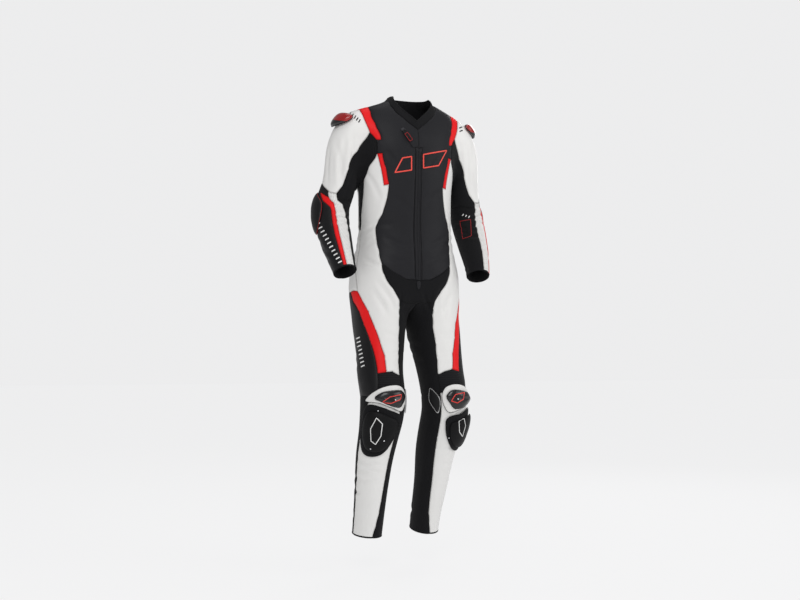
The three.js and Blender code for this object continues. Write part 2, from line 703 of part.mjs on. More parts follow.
// Sleeve panels
const CAP_ROW = 7; // hem of the white upper sleeve
const ELBOW_ROW = 8;
for (const side of [LEFT, RIGHT]) {
  const grid = sleeves[side];
  const name = sideName[side];
  const run = (from, to, top, bottom) => cells(grid, from, to, top, bottom, ARM_COLUMNS);
  addPanel(`sleeve_outer_${name}`, run(3, 13, 0, CAP_ROW), WHITE_LEATHER);
  addPanel(`sleeve_inner_${name}`, run(13, ARM_COLUMNS + 3, 0, ELBOW_ROW), STRETCH_CLOTH, STRETCH);
  const innerForearm = run(13, ARM_COLUMNS + 3, ELBOW_ROW, ARM_LAST_ROW);
  addPanel(`forearm_inner_${name}`, innerForearm, STRETCH_CLOTH, STRETCH);
  addPanel(`forearm_stripe_${name}`, run(3, 5, CAP_ROW, ARM_LAST_ROW), WHITE_LEATHER);
  addPanel(`forearm_red_${name}`, run(5, 6, ELBOW_ROW, ARM_LAST_ROW), RED_LEATHER);
  addPanel(`forearm_outer_${name}`, [
    ...run(5, 6, CAP_ROW, ELBOW_ROW),
    ...run(6, 13, CAP_ROW, ARM_LAST_ROW),
  ], BLACK_LEATHER);
}

// Leg panels
const BAND_TOP = 6;
const BAND_BOTTOM = 8;
for (const side of [LEFT, RIGHT]) {
  const grid = trousers[side];
  const name = sideName[side];
  const run = (from, to, top, bottom) => cells(grid, from, to, top, bottom, LEG_COLUMNS);
  addPanel(`thigh_stripe_${name}`, run(9, 10, 0, BAND_TOP), RED_LEATHER);
  addPanel(`thigh_outer_${name}`, run(10, 15, 0, BAND_BOTTOM), BLACK_LEATHER);
  addPanel(`knee_band_${name}`, run(6, 10, BAND_TOP, BAND_BOTTOM), STRETCH_CLOTH, STRETCH);
  addPanel(`shin_${name}`, run(6, 12, BAND_BOTTOM, LEG_LAST_ROW), WHITE_LEATHER);
  addPanel(`inner_leg_${name}`, run(15, LEG_COLUMNS + 6, 0, BAND_BOTTOM), STRETCH_CLOTH, STRETCH);
  addPanel(`calf_${name}`, [
    ...run(12, 15, BAND_BOTTOM, LEG_LAST_ROW),
    ...run(15, LEG_COLUMNS + 6, BAND_BOTTOM, LEG_LAST_ROW),
  ], STRETCH_CLOTH, STRETCH);
}

// Collar: a soft stand that leans in to the neck. Angle, rise, lean
const COLLAR = [[0, 25, 5], [15, 27, 10], [40, 19, 12], [90, 13, 13], [180, 16, 8]];
const COLLAR_ROWS = 2;
{
  const edge = [
    ...[...trunkKnots[RIGHT][0]].map((knot, column) => ({ knot, column, side: RIGHT })).reverse(),
    ...trunkKnots[LEFT][0].map((knot, column) => ({ knot, column, side: LEFT })).slice(1),
  ];
  // the list runs from the back over the right side to the front, and on over the left side
  const front = TRUNK_COLUMNS;
  const round = [...edge.slice(front), ...edge.slice(1, front + 1)];
  const grid = [];
  for (let row = 0; row <= COLLAR_ROWS; row += 1) {
    grid[row] = round.map(({ knot, column, side }) => {
      const [angle] = crossing(TRUNK_SEAMS, TRUNK_ROWS, column, 0);
      const a = radians(angle);
      const away = new THREE.Vector3(side * Math.sin(a), -Math.cos(a), 0);
      const share = row / COLLAR_ROWS;
      const p = knot.p.clone();
      p.z += readTable(COLLAR, angle, 1) * share;
      p.addScaledVector(away, -readTable(COLLAR, angle, 2) * share);
      knotCount += 1;
      return { id: knotCount, p, out: knot.out.clone().add(away).normalize() };
    });
  }
  addPanel('collar', cells(grid, 0, round.length - 1, 0, COLLAR_ROWS), SOFT_COLLAR, COLLAR_WALL);
}

// A pad that lies on the cloth: closed outline in the limb's own angles and heights, then rings
// that shrink towards the middle. Each ring is its share of the outline and its height. The
// underside is hollow, so that it clears the cloth between its points. A low roundness gives
// straight edges and crisp corners.
function smoothLoop(points, count, roundness) {
  const loop = points.map(([a, b]) => new THREE.Vector3(a, b, 0));
  const curve = new THREE.CatmullRomCurve3(loop, true, 'catmullrom', roundness);
  return curve.getPoints(count).slice(0, count).map((v) => [v.x, v.y]);
}

const UNDER_RINGS = [0.72, 0.4];
const PLAIN_PAD = { count: 18, under: LAY_GAP, hollow: 2.4, roundness: 0.5 };
function addPad(name, body, place, outline, rings, look, options = {}) {
  const { count, under, hollow, roundness } = { ...PLAIN_PAD, ...options };
  const rim = smoothLoop(outline, count, roundness);
  const middle = [0, 1].map((i) => rim.reduce((sum, point) => sum + point[i], 0) / count);
  const pointAt = (share, point, height) => {
    const [angle, level] = [0, 1].map((i) => middle[i] + (point[i] - middle[i]) * share);
    const { p, out } = settle(body, place(angle, level), false);
    return p.addScaledVector(out, height);
  };
  const below = UNDER_RINGS.map((share) => [share, under + hollow]).reverse();
  const layers = [...below, [1, under], ...rings];
  const points = layers.flatMap(([share, height]) => rim.map((point) => pointAt(share, point, height)));
  const triangles = [];
  const last = layers.length - 1;
  for (let layer = 0; layer < last; layer += 1) {
    joinLoops(triangles, layer * count, (layer + 1) * count, count);
  }
  const bottom = points.push(pointAt(0, rim[0], under + hollow)) - 1;
  const top = points.push(pointAt(0, rim[0], rings[rings.length - 1][1])) - 1;
  for (let i = 0; i < count; i += 1) {
    const next = (i + 1) % count;
    triangles.push([next, i, bottom], [last * count + i, last * count + next, top]);
  }
  return addSolid(name, points, outward(points, triangles), look);
}

function joinLoops(triangles, low, high, count) {
  for (let i = 0; i < count; i += 1) {
    const next = (i + 1) % count;
    triangles.push([low + i, low + next, high + next], [low + i, high + next, high + i]);
  }
}

// Turn a closed solid's faces outward if its volume comes out negative
function outward(points, triangles) {
  let volume = 0;
  for (const [a, b, c] of triangles) {
    volume += points[a].dot(new THREE.Vector3().crossVectors(points[b], points[c]));
  }
  return volume > 0 ? triangles : triangles.map(([a, b, c]) => [a, c, b]);
}

// A flat strip that lies on the trunk's right half: stations of angle, height, half width
function addStrip(name, stations, under, thick, look) {
  const middles = stations.map(([angle, height]) => {
    return settle(wholeBody, trunk.place(RIGHT, angle, height), false);
  });
  const points = stations.flatMap(([, , half], i) => {
    const { p, out } = middles[i];
    const after = middles[Math.min(i + 1, stations.length - 1)].p;
    const before = middles[Math.max(i - 1, 0)].p;
    const across = new THREE.Vector3().crossVectors(out, after.clone().sub(before)).normalize();
    const corners = [[-half, under], [half, under], [half, under + thick], [-half, under + thick]];
    return corners.map(([wide, high]) => p.clone().addScaledVector(across, wide).addScaledVector(out, high));
  });
  const triangles = [];
  const last = (stations.length - 1) * 4;
  for (let ring = 0; ring < last; ring += 4) joinLoops(triangles, ring, ring + 4, 4);
  triangles.push([1, 0, 3], [1, 3, 2], [last, last + 1, last + 2], [last, last + 2, last + 3]);
  return addSolid(name, points, outward(points, triangles), look);
}

// The zip's top end runs slantwise over the right front, under a garage of leather. The hem ends in
// a small tab at the foot of the zip.
const GARAGE = [[3.5, 1386, 7], [5, 1398, 8], [8, 1411, 8], [10.5, 1424, 8], [12, 1432, 7]];
const GARAGE_THICK = 1.8;
const HEM_TAB = [[0, 958, 7], [0, 945, 8], [0, 934, 5.5], [0, 929, 2]];
addStrip('zip_garage', GARAGE, LAY_GAP, GARAGE_THICK, BLACK_LEATHER);
addStrip('front_tip', HEM_TAB, LAY_GAP, LEATHER, BLACK_LEATHER);

// The zip's slider is parked above the garage; its pull tab lies down the garage and turns on a pin
const SLIDER_AT = [14, 1441]; // angle, height
const SLIDER_PLATE = { wide: 11, long: 15, thick: 1.4, under: 0.1 };
const EAR = { inside: 3.2, thick: 2, long: 5.2, high: 5, sunk: 0.2, play: 0.2 };
const PIN_HEIGHT = 4.3; // over the leather
const PIN_RADIUS = 1.2;
const PIN_CLEARANCE = 0.05;
const BARREL_RADIUS = 2.4;
const TAB = { wide: 14, long: 42, thick: 1.8, corner: 2.5, start: 4.2 };
const ROUND_STEPS = 32;

// A closed geometry as a solid that can be joined and cut
function solidFrom(geometry) {
  const bare = new THREE.BufferGeometry();
  bare.setAttribute('position', geometry.getAttribute('position'));
  if (geometry.index) bare.setIndex(geometry.index);
  const { attributes, index } = mergeVertices(bare);
  return new Manifold(new wasm.Mesh({
    numProp: 3,
    vertProperties: attributes.position.array,
    triVerts: new Uint32Array(index.array),
  }));
}

const block = (size, middle) => solidFrom(new THREE.BoxGeometry(...size).translate(...middle));

// A rod along the pin's line
function rod(radius, length) {
  const round = new THREE.CylinderGeometry(radius, radius, length, ROUND_STEPS);
  return solidFrom(round.rotateZ(Math.PI / 2).translate(0, 0, PIN_HEIGHT));
}

function tabBlade() {
  const { wide, long, thick, corner, start } = TAB;
  const side = wide / 2 - corner;
  const outline = new THREE.Shape();
  outline.absarc(side, start + corner, corner, -Math.PI / 2, 0);
  outline.absarc(side, long - corner, corner, 0, Math.PI / 2);
  outline.absarc(-side, long - corner, corner, Math.PI / 2, Math.PI);
  outline.absarc(-side, start + corner, corner, Math.PI, 1.5 * Math.PI);
  const blade = new THREE.ExtrudeGeometry(outline, { depth: thick, bevelEnabled: false, curveSegments: 8 });
  return solidFrom(blade.translate(0, 0, PIN_HEIGHT - thick / 2));
}

// A cut solid in the slider's own frame: across the slant, down the slant, out of the cloth
function addCut(name, solid, frame, look) {
  const { vertProperties, triVerts, numProp } = solid.getMesh();
  const points = [];
  for (let i = 0; i < vertProperties.length; i += numProp) {
    const [across, down, out] = vertProperties.subarray(i, i + 3);
    points.push(frame.at.clone().addScaledVector(frame.across, across).addScaledVector(frame.down, down)
      .addScaledVector(frame.out, out));
  }
  const triangles = [];
  for (let i = 0; i < triVerts.length; i += 3) triangles.push([...triVerts.subarray(i, i + 3)]);
  return addSolid(name, points, triangles, look);
}

{
  const { p: at, out } = settle(wholeBody, trunk.place(RIGHT, ...SLIDER_AT), false);
  const end = settle(wholeBody, trunk.place(RIGHT, GARAGE[0][0], GARAGE[0][1]), false);
  const lean = end.p.clone().sub(at);
  const down = lean.addScaledVector(out, -lean.dot(out)).normalize();
  const frame = { at, out, down, across: new THREE.Vector3().crossVectors(down, out) };
  const { wide, long, thick, under } = SLIDER_PLATE;
  const earMiddle = EAR.inside + EAR.thick / 2;
  let slider = block([wide, long, thick], [0, -2, under + thick / 2]);
  for (const x of [-earMiddle, earMiddle]) {
    const z = under + thick + EAR.high / 2 - EAR.sunk;
    slider = slider.add(block([EAR.thick, EAR.long, EAR.high], [x, 0, z]));
  }
  slider = slider.add(rod(PIN_RADIUS, 2 * earMiddle));
  addCut('zip_slider', slider, frame, ZIP_METAL);

  const barrelWide = 2 * (EAR.inside - EAR.play);
  const neckLong = TAB.start + TAB.corner;
  const tab = tabBlade()
    .add(block([barrelWide, neckLong, TAB.thick], [0, neckLong / 2, PIN_HEIGHT]))
    .add(rod(BARREL_RADIUS, barrelWide))
    .subtract(rod(PIN_RADIUS + PIN_CLEARANCE, barrelWide + 2));
  addCut('zip_pull', tab, frame, RED_LEATHER);
}

// Shoulder cup: its outline is seen from the middle of the joint, as turn from the front and tilt up
const SHOULDER_REACH = 66;
const CUP_OUTLINE = [
  [18, 27], [42, 10], [72, 3], [102, 4], [124, 18], [116, 38], [88, 50], [54, 46], [30, 39],
];
const CUP_RINGS = [[0.98, 4], [0.9, 9], [0.68, 12.5], [0.35, 14]];
for (const side of [LEFT, RIGHT]) {
  const name = sideName[side];
  const joint = arms[side].frameAt(1452).middle;
  const place = (turn, tilt) => {
    const a = radians(turn);
    const b = radians(tilt);
    const way = new THREE.Vector3(side * Math.sin(a) * Math.cos(b), -Math.cos(a) * Math.cos(b), Math.sin(b));
    return joint.clone().addScaledVector(way, SHOULDER_REACH);
  };
  addPad(`shoulder_cup_${name}`, armBody(side), place, CUP_OUTLINE, CUP_RINGS, HARD_SHELL);
}

// Elbow guard on the outer forearm
const ELBOW_OUTLINE = [
  [72, 1196], [96, 1226], [135, 1232], [172, 1214], [184, 1172], [160, 1130], [124, 1108], [90, 1136],
];
const ELBOW_RINGS = [[0.97, 4], [0.86, 8], [0.6, 10.5], [0.3, 11.5]];
for (const side of [LEFT, RIGHT]) {
  const limb = arms[side];
  const place = (angle, height) => limb.place(angle + readTable(ARM_TWIST[side], height), height);
  const away = (p) => limb.away(p);
  const guard = `elbow_guard_${sideName[side]}`;
  addPad(guard, away, place, ELBOW_OUTLINE, ELBOW_RINGS, SLIDER_BLACK, { hollow: 4 });
}

// Knee pieces, in angles from the knee's own front
const KNEE_TURN = { [LEFT]: 10, [RIGHT]: -8 };
const SLIDER_TOP = 545;
const SLIDER_RAISE = { [LEFT]: 4, [RIGHT]: 9 };
const SLIDER_LENGTH = { [LEFT]: 0.83, [RIGHT]: 1 }; // the bent leg pushes its slider together
const KNEE_PADDING = [
  [78, 562], [58, 583], [34, 598], [6, 605], [-18, 604], [-34, 594], [-42, 576], [-38, 552],
  [-26, 537], [-6, 540], [14, 546], [38, 554], [62, 557],
];
const KNEE_PADDING_RINGS = [[0.97, 4], [0.88, 6.4], [0.6, 6.8]];
const KNEE_PLATE = [[50, 566], [28, 585], [-16, 591], [-32, 573], [-14, 546], [14, 549]];
const KNEE_PLATE_RINGS = [[0.97, 12], [0.84, 14.8], [0.5, 16.5]];
const SLIDER_BASE = [
  [68, 543], [40, 539], [14, 531], [-10, 525], [-27, 518], [-29, 504], [-23, 480], [-15, 456],
  [-5, 432], [8, 410], [24, 397], [46, 390], [66, 393], [80, 414], [86, 445], [86, 482], [82, 525],
];
const SLIDER_BASE_RINGS = [[0.98, 5], [0.92, 7.4], [0.6, 8]];
const SLIDER_PUCK = [
  [62, 526], [36, 524], [8, 516], [-14, 508], [-16, 490], [-5, 452], [10, 424], [28, 412],
  [50, 409], [66, 424], [74, 455], [74, 495],
];
const SLIDER_PUCK_RINGS = [[0.98, 12.5], [0.86, 16.5], [0.6, 19.5], [0.3, 20.5]];
const PLATE_UNDER = 8; // undersides of the hard pieces over the cloth
const PUCK_UNDER = 8.6;
const INNER_PATCH = [[-70, 604], [-76, 567], [-51, 530], [-45, 555], [-47, 573]];
const PATCH_RINGS = [[0.96, 3.4], [0.7, 4.4]];
for (const side of [LEFT, RIGHT]) {
  const limb = legs[side];
  const name = sideName[side];
  const body = (p) => limb.away(p);
  const place = (angle, height) => limb.place(angle + KNEE_TURN[side], height);
  const placeSlider = (angle, height) =>
    place(angle, SLIDER_TOP + SLIDER_RAISE[side] - (SLIDER_TOP - height) * SLIDER_LENGTH[side]);
  addPad(`knee_padding_${name}`, body, place, KNEE_PADDING, KNEE_PADDING_RINGS, WHITE_LEATHER, { count: 24 });
  addPad(`knee_plate_${name}`, body, place, KNEE_PLATE, KNEE_PLATE_RINGS, HARD_SHELL, {
    under: PLATE_UNDER,
    roundness: 0.22,
  });
  addPad(`slider_base_${name}`, body, placeSlider, SLIDER_BASE, SLIDER_BASE_RINGS, STRETCH_CLOTH, {
    count: 24,
    under: LAY_GAP + 0.3,
    hollow: 3,
  });
  addPad(`knee_slider_${name}`, body, placeSlider, SLIDER_PUCK, SLIDER_PUCK_RINGS, SLIDER_BLACK, {
    under: PUCK_UNDER,
  });
  addPad(`inner_knee_patch_${name}`, body, place, INNER_PATCH, PATCH_RINGS, BLACK_LEATHER, {
    count: 15,
    hollow: 1.2,
    roundness: 0.2,
  });
}

export default suit;
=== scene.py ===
# %% [markdown]
# # One-piece leather race suit
# The suit stands in its worn shape with nobody inside. The frame gives plain panels with a wall; here
# each panel becomes leather or stretch cloth, with seams, creases, stitches and hard guards.
# Everything is in metres. The chest faces -Y, the wearer's left is +X, and the origin is between the
# shoulders, 1.5 m above the floor.

# %% The frame
import math
import random

import bmesh
import bpy
import numpy as np
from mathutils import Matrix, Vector
from mathutils.bvhtree import BVHTree
from mathutils.kdtree import KDTree


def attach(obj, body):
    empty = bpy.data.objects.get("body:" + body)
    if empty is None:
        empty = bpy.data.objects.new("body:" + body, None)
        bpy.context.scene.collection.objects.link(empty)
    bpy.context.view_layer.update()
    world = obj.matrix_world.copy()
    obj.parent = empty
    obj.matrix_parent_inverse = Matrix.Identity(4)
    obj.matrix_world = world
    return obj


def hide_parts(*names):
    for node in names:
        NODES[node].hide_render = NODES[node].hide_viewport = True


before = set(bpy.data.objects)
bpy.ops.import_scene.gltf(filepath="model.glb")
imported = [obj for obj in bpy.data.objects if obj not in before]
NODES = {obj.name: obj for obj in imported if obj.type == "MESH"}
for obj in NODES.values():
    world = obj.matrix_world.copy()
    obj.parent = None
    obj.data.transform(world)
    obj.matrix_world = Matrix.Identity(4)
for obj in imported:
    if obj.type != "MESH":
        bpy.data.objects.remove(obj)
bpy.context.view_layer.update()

FLOOR = -1.5
MM = 0.001
random.seed(7)
print("nodes", len(NODES))

# %% [markdown]
# ## Camera and light
# The camera stands 3.65 m away, a little to the wearer's right of the front, and at hip height, as a
# catalogue photographer would stand. The light is broad and soft, so white leather keeps its shading.

# %% Camera and light
CAMERA_TURN = math.radians(23)
CAMERA_AWAY = 3.65
CAMERA_HEIGHT = 0.70 + FLOOR
FOCUS_PIXELS = 1093.2
AXIS_PIXEL = (405, 360)
PICTURE = (800, 600)
SENSOR_WIDTH = 36
VIEW_REACH = 60
RIGHTWARD = Vector((math.cos(CAMERA_TURN), -math.sin(CAMERA_TURN), 0))
AHEAD = Vector((math.sin(CAMERA_TURN), math.cos(CAMERA_TURN), 0))
EYE = Vector((0, 0, CAMERA_HEIGHT)) - AHEAD * CAMERA_AWAY

camera = bpy.data.objects.new("camera", bpy.data.cameras.new("camera"))
bpy.context.scene.collection.objects.link(camera)
camera.location = EYE
camera.rotation_mode = "QUATERNION"
camera.rotation_quaternion = AHEAD.to_track_quat("-Z", "Y")
camera.data.sensor_width = SENSOR_WIDTH
camera.data.lens = SENSOR_WIDTH * FOCUS_PIXELS / PICTURE[0]
camera.data.shift_x = (PICTURE[0] / 2 - AXIS_PIXEL[0]) / PICTURE[0]
camera.data.shift_y = (AXIS_PIXEL[1] - PICTURE[1] / 2) / PICTURE[0]
camera.data.clip_end = VIEW_REACH
bpy.context.scene.camera = camera


def add_light(name, place, aim, size, power):
    light = bpy.data.objects.new(name, bpy.data.lights.new(name, "AREA"))
    light.data.size = size
    light.data.energy = power
    light.location = place
    light.rotation_mode = "QUATERNION"
    light.rotation_quaternion = (Vector(aim) - Vector(place)).to_track_quat("-Z", "Y")
    bpy.context.scene.collection.objects.link(light)


add_light("key", (-1.6, -3.8, 1.8), (0, 0, -0.6), 2.0, 70)
add_light("fill", (3.2, -2.8, 0.9), (0, 0, -0.7), 2.4, 46)
add_light("top", (0.2, -0.2, 2.6), (0, 0, -0.6), 2.0, 22)
add_light("rim", (2.2, 2.0, 0.9), (0, 0, -0.5), 1.6, 28)
world = bpy.data.worlds.new("studio")
world.use_nodes = True
bpy.context.scene.world = world
bpy.context.scene.view_settings.view_transform = "Standard"
print("camera", [round(c, 3) for c in EYE])

# %% [markdown]
# ## Shader sums
# A small class wraps one socket, so the maths of a material reads as plain sums.

# %% Shader sums


class Wire:
    """One output socket of a material, with the usual signs for sums."""

    def __init__(self, tree, socket):
        self.tree = tree
        self.socket = socket

    def math(self, kind, *values):
        return node(self.tree, "ShaderNodeMath", {"operation": kind}, *values).out()

    def __add__(self, other):
        return self.math("ADD", self, other)

    def __sub__(self, other):
        return self.math("SUBTRACT", self, other)

    def __mul__(self, other):
        return self.math("MULTIPLY", self, other)

    def __truediv__(self, other):
        return self.math("DIVIDE", self, other)

    def __radd__(self, other):
        return self.math("ADD", other, self)

    def __rsub__(self, other):
        return self.math("SUBTRACT", other, self)

    def abs(self):
        return self.math("ABSOLUTE", self)

    def sine(self):
        return self.math("SINE", self)

    def fraction(self):
        return self.math("FRACT", self)

    def root(self):
        return self.math("SQRT", self)

    def step(self, low, high):
        """0 below low, 1 above high, soft between."""
        made = node(self.tree, "ShaderNodeMapRange", {"interpolation_type": "SMOOTHSTEP"})
        made.plug("Value", self)
        made.plug("From Min", low)
        made.plug("From Max", high)
        return made.out()


class node:
    """Any shader node: type, settings, then input values or wires in order or by name."""

    def __init__(self, tree, kind, settings=None, *values, **named):
        self.tree = tree
        self.made = tree.nodes.new(kind)
        for key, value in (settings or {}).items():
            setattr(self.made, key, value)
        for index, value in enumerate(values):
            self.plug(index, value)
        for key, value in named.items():
            self.plug(key.replace("_", " "), value)

    def plug(self, key, value):
        if isinstance(value, Wire):
            self.tree.links.new(value.socket, self.made.inputs[key])
        else:
            self.made.inputs[key].default_value = value

    def out(self, key=0):
        return Wire(self.tree, self.made.outputs[key])


def split(tree, vector):
    parts = node(tree, "ShaderNodeSeparateXYZ", None, vector)
    return parts.out(0), parts.out(1), parts.out(2)


def mix(tree, share, low, high):
    """Mix of two colours, each a colour or a wire."""
    made = node(tree, "ShaderNodeMix", {"data_type": "RGBA"})
    made.plug(0, share)
    made.plug(6, low)
    made.plug(7, high)
    return made.out(2)


def noise(tree, place, scale, detail=3.0, rough=0.55):
    made = node(tree, "ShaderNodeTexNoise", None)
    made.plug("Vector", place)
    made.plug("Scale", scale)
    made.plug("Detail", detail)
    made.plug("Roughness", rough)
    return made.out(0)


def begin(name, rough, metal=0.0, coat=0.0, sheen=0.0, gloss=0.5):
    """A material with its shader; returns it with its tree, shader and Object coordinates."""
    made = bpy.data.materials.new(name)
    made.use_nodes = True
    tree = made.node_tree
    shader = tree.nodes["Principled BSDF"]
    shader.inputs["Roughness"].default_value = rough
    shader.inputs["Metallic"].default_value = metal
    shader.inputs["Coat Weight"].default_value = coat
    shader.inputs["Coat Roughness"].default_value = 0.25
    shader.inputs["Specular IOR Level"].default_value = gloss
    shader.inputs["Sheen Weight"].default_value = sheen
    shader.inputs["Sheen Roughness"].default_value = 0.5
    place = node(tree, "ShaderNodeTexCoord").out("Object")
    return made, tree, shader, place


def bump(tree, shader, height, strength, distance):
    made = node(tree, "ShaderNodeBump", None)
    made.plug("Strength", strength)
    made.plug("Distance", distance)
    made.plug("Height", height)
    tree.links.new(made.out().socket, shader.inputs["Normal"])


def paint(tree, shader, key, wire):
    tree.links.new(wire.socket, shader.inputs[key])


def flat_map(tree):
    """The piece's own flat map: metres round it and metres up it."""
    u, v, _ = split(tree, node(tree, "ShaderNodeUVMap", {"uv_map": "cut"}).out())
    return u, v


ROW_SHARE = 0.866  # rows of a triangle net lie this much closer than its holes
PEBBLE_SCALE = 620.0
GRAIN_SCALE = 1900.0
WEAVE_ACROSS = 0.0011
WEAVE_UP = 0.0009
STITCHED_FOLD = (0.0002, 0.0045)


def dots(tree, pitch, radius):
    """Punched holes in staggered rows: 1 in a hole, 0 between."""
    u, v = flat_map(tree)
    x = u / pitch
    y = v / (pitch * ROW_SHARE)
    row = y - y.fraction()
    shift = (row * 0.5).fraction()
    dx = (x + shift).fraction() - 0.5
    dy = y.fraction() - 0.5
    reach = (dx * dx + dy * dy * 0.75).root()
    return 1 - reach.step(radius / pitch * 0.7, radius / pitch * 1.25)


def seam_shade(tree):
    """0 in a seam, 1 on the open panel; the materials paint shade into the seam valleys with it."""
    away = node(tree, "ShaderNodeAttribute", {"attribute_name": "seam"}).out("Fac")
    return away.step(*STITCHED_FOLD)


def leather(name, colour, dark, rough=0.46, holes=None, grain=1.0, wear=0.05, gloss=0.3):
    made, tree, shader, place = begin(name, rough, coat=0.03, gloss=gloss)
    cells = node(tree, "ShaderNodeTexVoronoi", {"feature": "DISTANCE_TO_EDGE"})
    cells.plug("Vector", place)
    cells.plug("Scale", PEBBLE_SCALE)
    pebble = cells.out("Distance").step(0.0, 0.32)
    fine = noise(tree, place, GRAIN_SCALE, 4.0)
    broad = noise(tree, place, 9.0, 4.0)
    blotch = noise(tree, place, 46.0, 5.0, 0.6)
    stain = (broad.step(0.35, 0.75) * 0.6 + blotch.step(0.4, 0.8) * 0.4) * wear
    tone = mix(tree, stain, (*colour, 1), (*dark, 1))
    seam = seam_shade(tree)
    # Towards a seam the leather is painted darker: painted shade in the seam's valley.
    tone = mix(tree, (1 - seam) * 0.55, tone, (*[c * 0.35 for c in dark], 1))
    height = pebble * 0.5 + fine * 0.35 + blotch * 0.25
    if holes:
        hole = dots(tree, *holes)
        tone = mix(tree, hole * 0.85, tone, (*[c * 0.12 for c in dark], 1))
        height = height - hole * 2.2
    paint(tree, shader, "Base Color", tone)
    paint(tree, shader, "Roughness", rough - 0.07 + broad * 0.12 + fine * 0.06 + (1 - seam) * 0.15)
    bump(tree, shader, height, 0.34 * grain, 0.00035)
    return made


def stretch(name, colour, light, pitch, depth, across=False, rough=0.82):
    """Ribbed stretch cloth: ribs run up the piece, or across it."""
    made, tree, shader, place = begin(name, rough, sheen=0.04, gloss=0.14)
    u, v = flat_map(tree)
    along = v if across else u
    rib = (along * (2 * math.pi / pitch)).sine()
    weave_u = (u * (2 * math.pi / WEAVE_ACROSS)).sine()
    weave_v = (v * (2 * math.pi / WEAVE_UP)).sine()
    fuzz = noise(tree, place, 1400.0, 3.0)
    broad = noise(tree, place, 14.0, 4.0)
    # The rib troughs are painted darker and the crests lighter, painted shade and highlight on the ribs; the
    # broad noise is the knit's random tone.
    tone = mix(tree, rib.step(-0.6, 1.0) * 0.35 + broad * 0.3, (*colour, 1), (*light, 1))
    seam = seam_shade(tree)
    # Towards a seam the cloth is painted near black: painted shade in the seam's valley.
    tone = mix(tree, (1 - seam) * 0.6, tone, (0.002, 0.002, 0.002, 1))
    paint(tree, shader, "Base Color", tone)
    paint(tree, shader, "Roughness", rough - 0.1 + fuzz * 0.2)
    bump(tree, shader, rib * depth + (weave_u * weave_v) * 0.16 + fuzz * 0.3, 0.45, 0.0006)
    return made


def hard(name, colour, rough, coat=0.4, speck=900.0, strength=0.12, metal=0.0, gloss=0.4):
    made, tree, shader, place = begin(name, rough, metal=metal, coat=coat, gloss=gloss)
    fine = noise(tree, place, speck, 3.0)
    broad = noise(tree, place, 22.0, 4.0)
    scuff = noise(tree, place, 130.0, 6.0, 0.7).step(0.62, 0.8)
    worn = [c * 1.7 + 0.004 for c in colour]
    tone = mix(tree, broad * 0.35 + scuff * 0.2, (*colour, 1), (*worn, 1))
    paint(tree, shader, "Base Color", tone)
    paint(tree, shader, "Roughness", rough + broad * 0.08 + scuff * 0.12)
    bump(tree, shader, fine + scuff * 0.4, strength, 0.0003)
    return made


def two_tone(name, upper, lower, rough):
    """Moulded shell in two colours: the piece's own attribute "tint" is 1 on the upper colour."""
    made, tree, shader, place = begin(name, rough, coat=0.3, gloss=0.4)
    tint = node(tree, "ShaderNodeAttribute", {"attribute_name": "tint"}).out("Fac")
    fine = noise(tree, place, 900.0, 3.0)
    broad = noise(tree, place, 24.0, 4.0)
    edge = 1 - ((tint - 0.5).abs() * 9.0).step(0.0, 1.0)
    tone = mix(tree, tint.step(0.44, 0.56), (*lower, 1), (*upper, 1))
    tone = mix(tree, edge * 0.9 + broad * 0.1, tone, (0.006, 0.006, 0.007, 1))
    paint(tree, shader, "Base Color", tone)
    paint(tree, shader, "Roughness", rough + broad * 0.08 + edge * 0.1)
    bump(tree, shader, fine - edge * 2.0, 0.15, 0.0004)
    return made


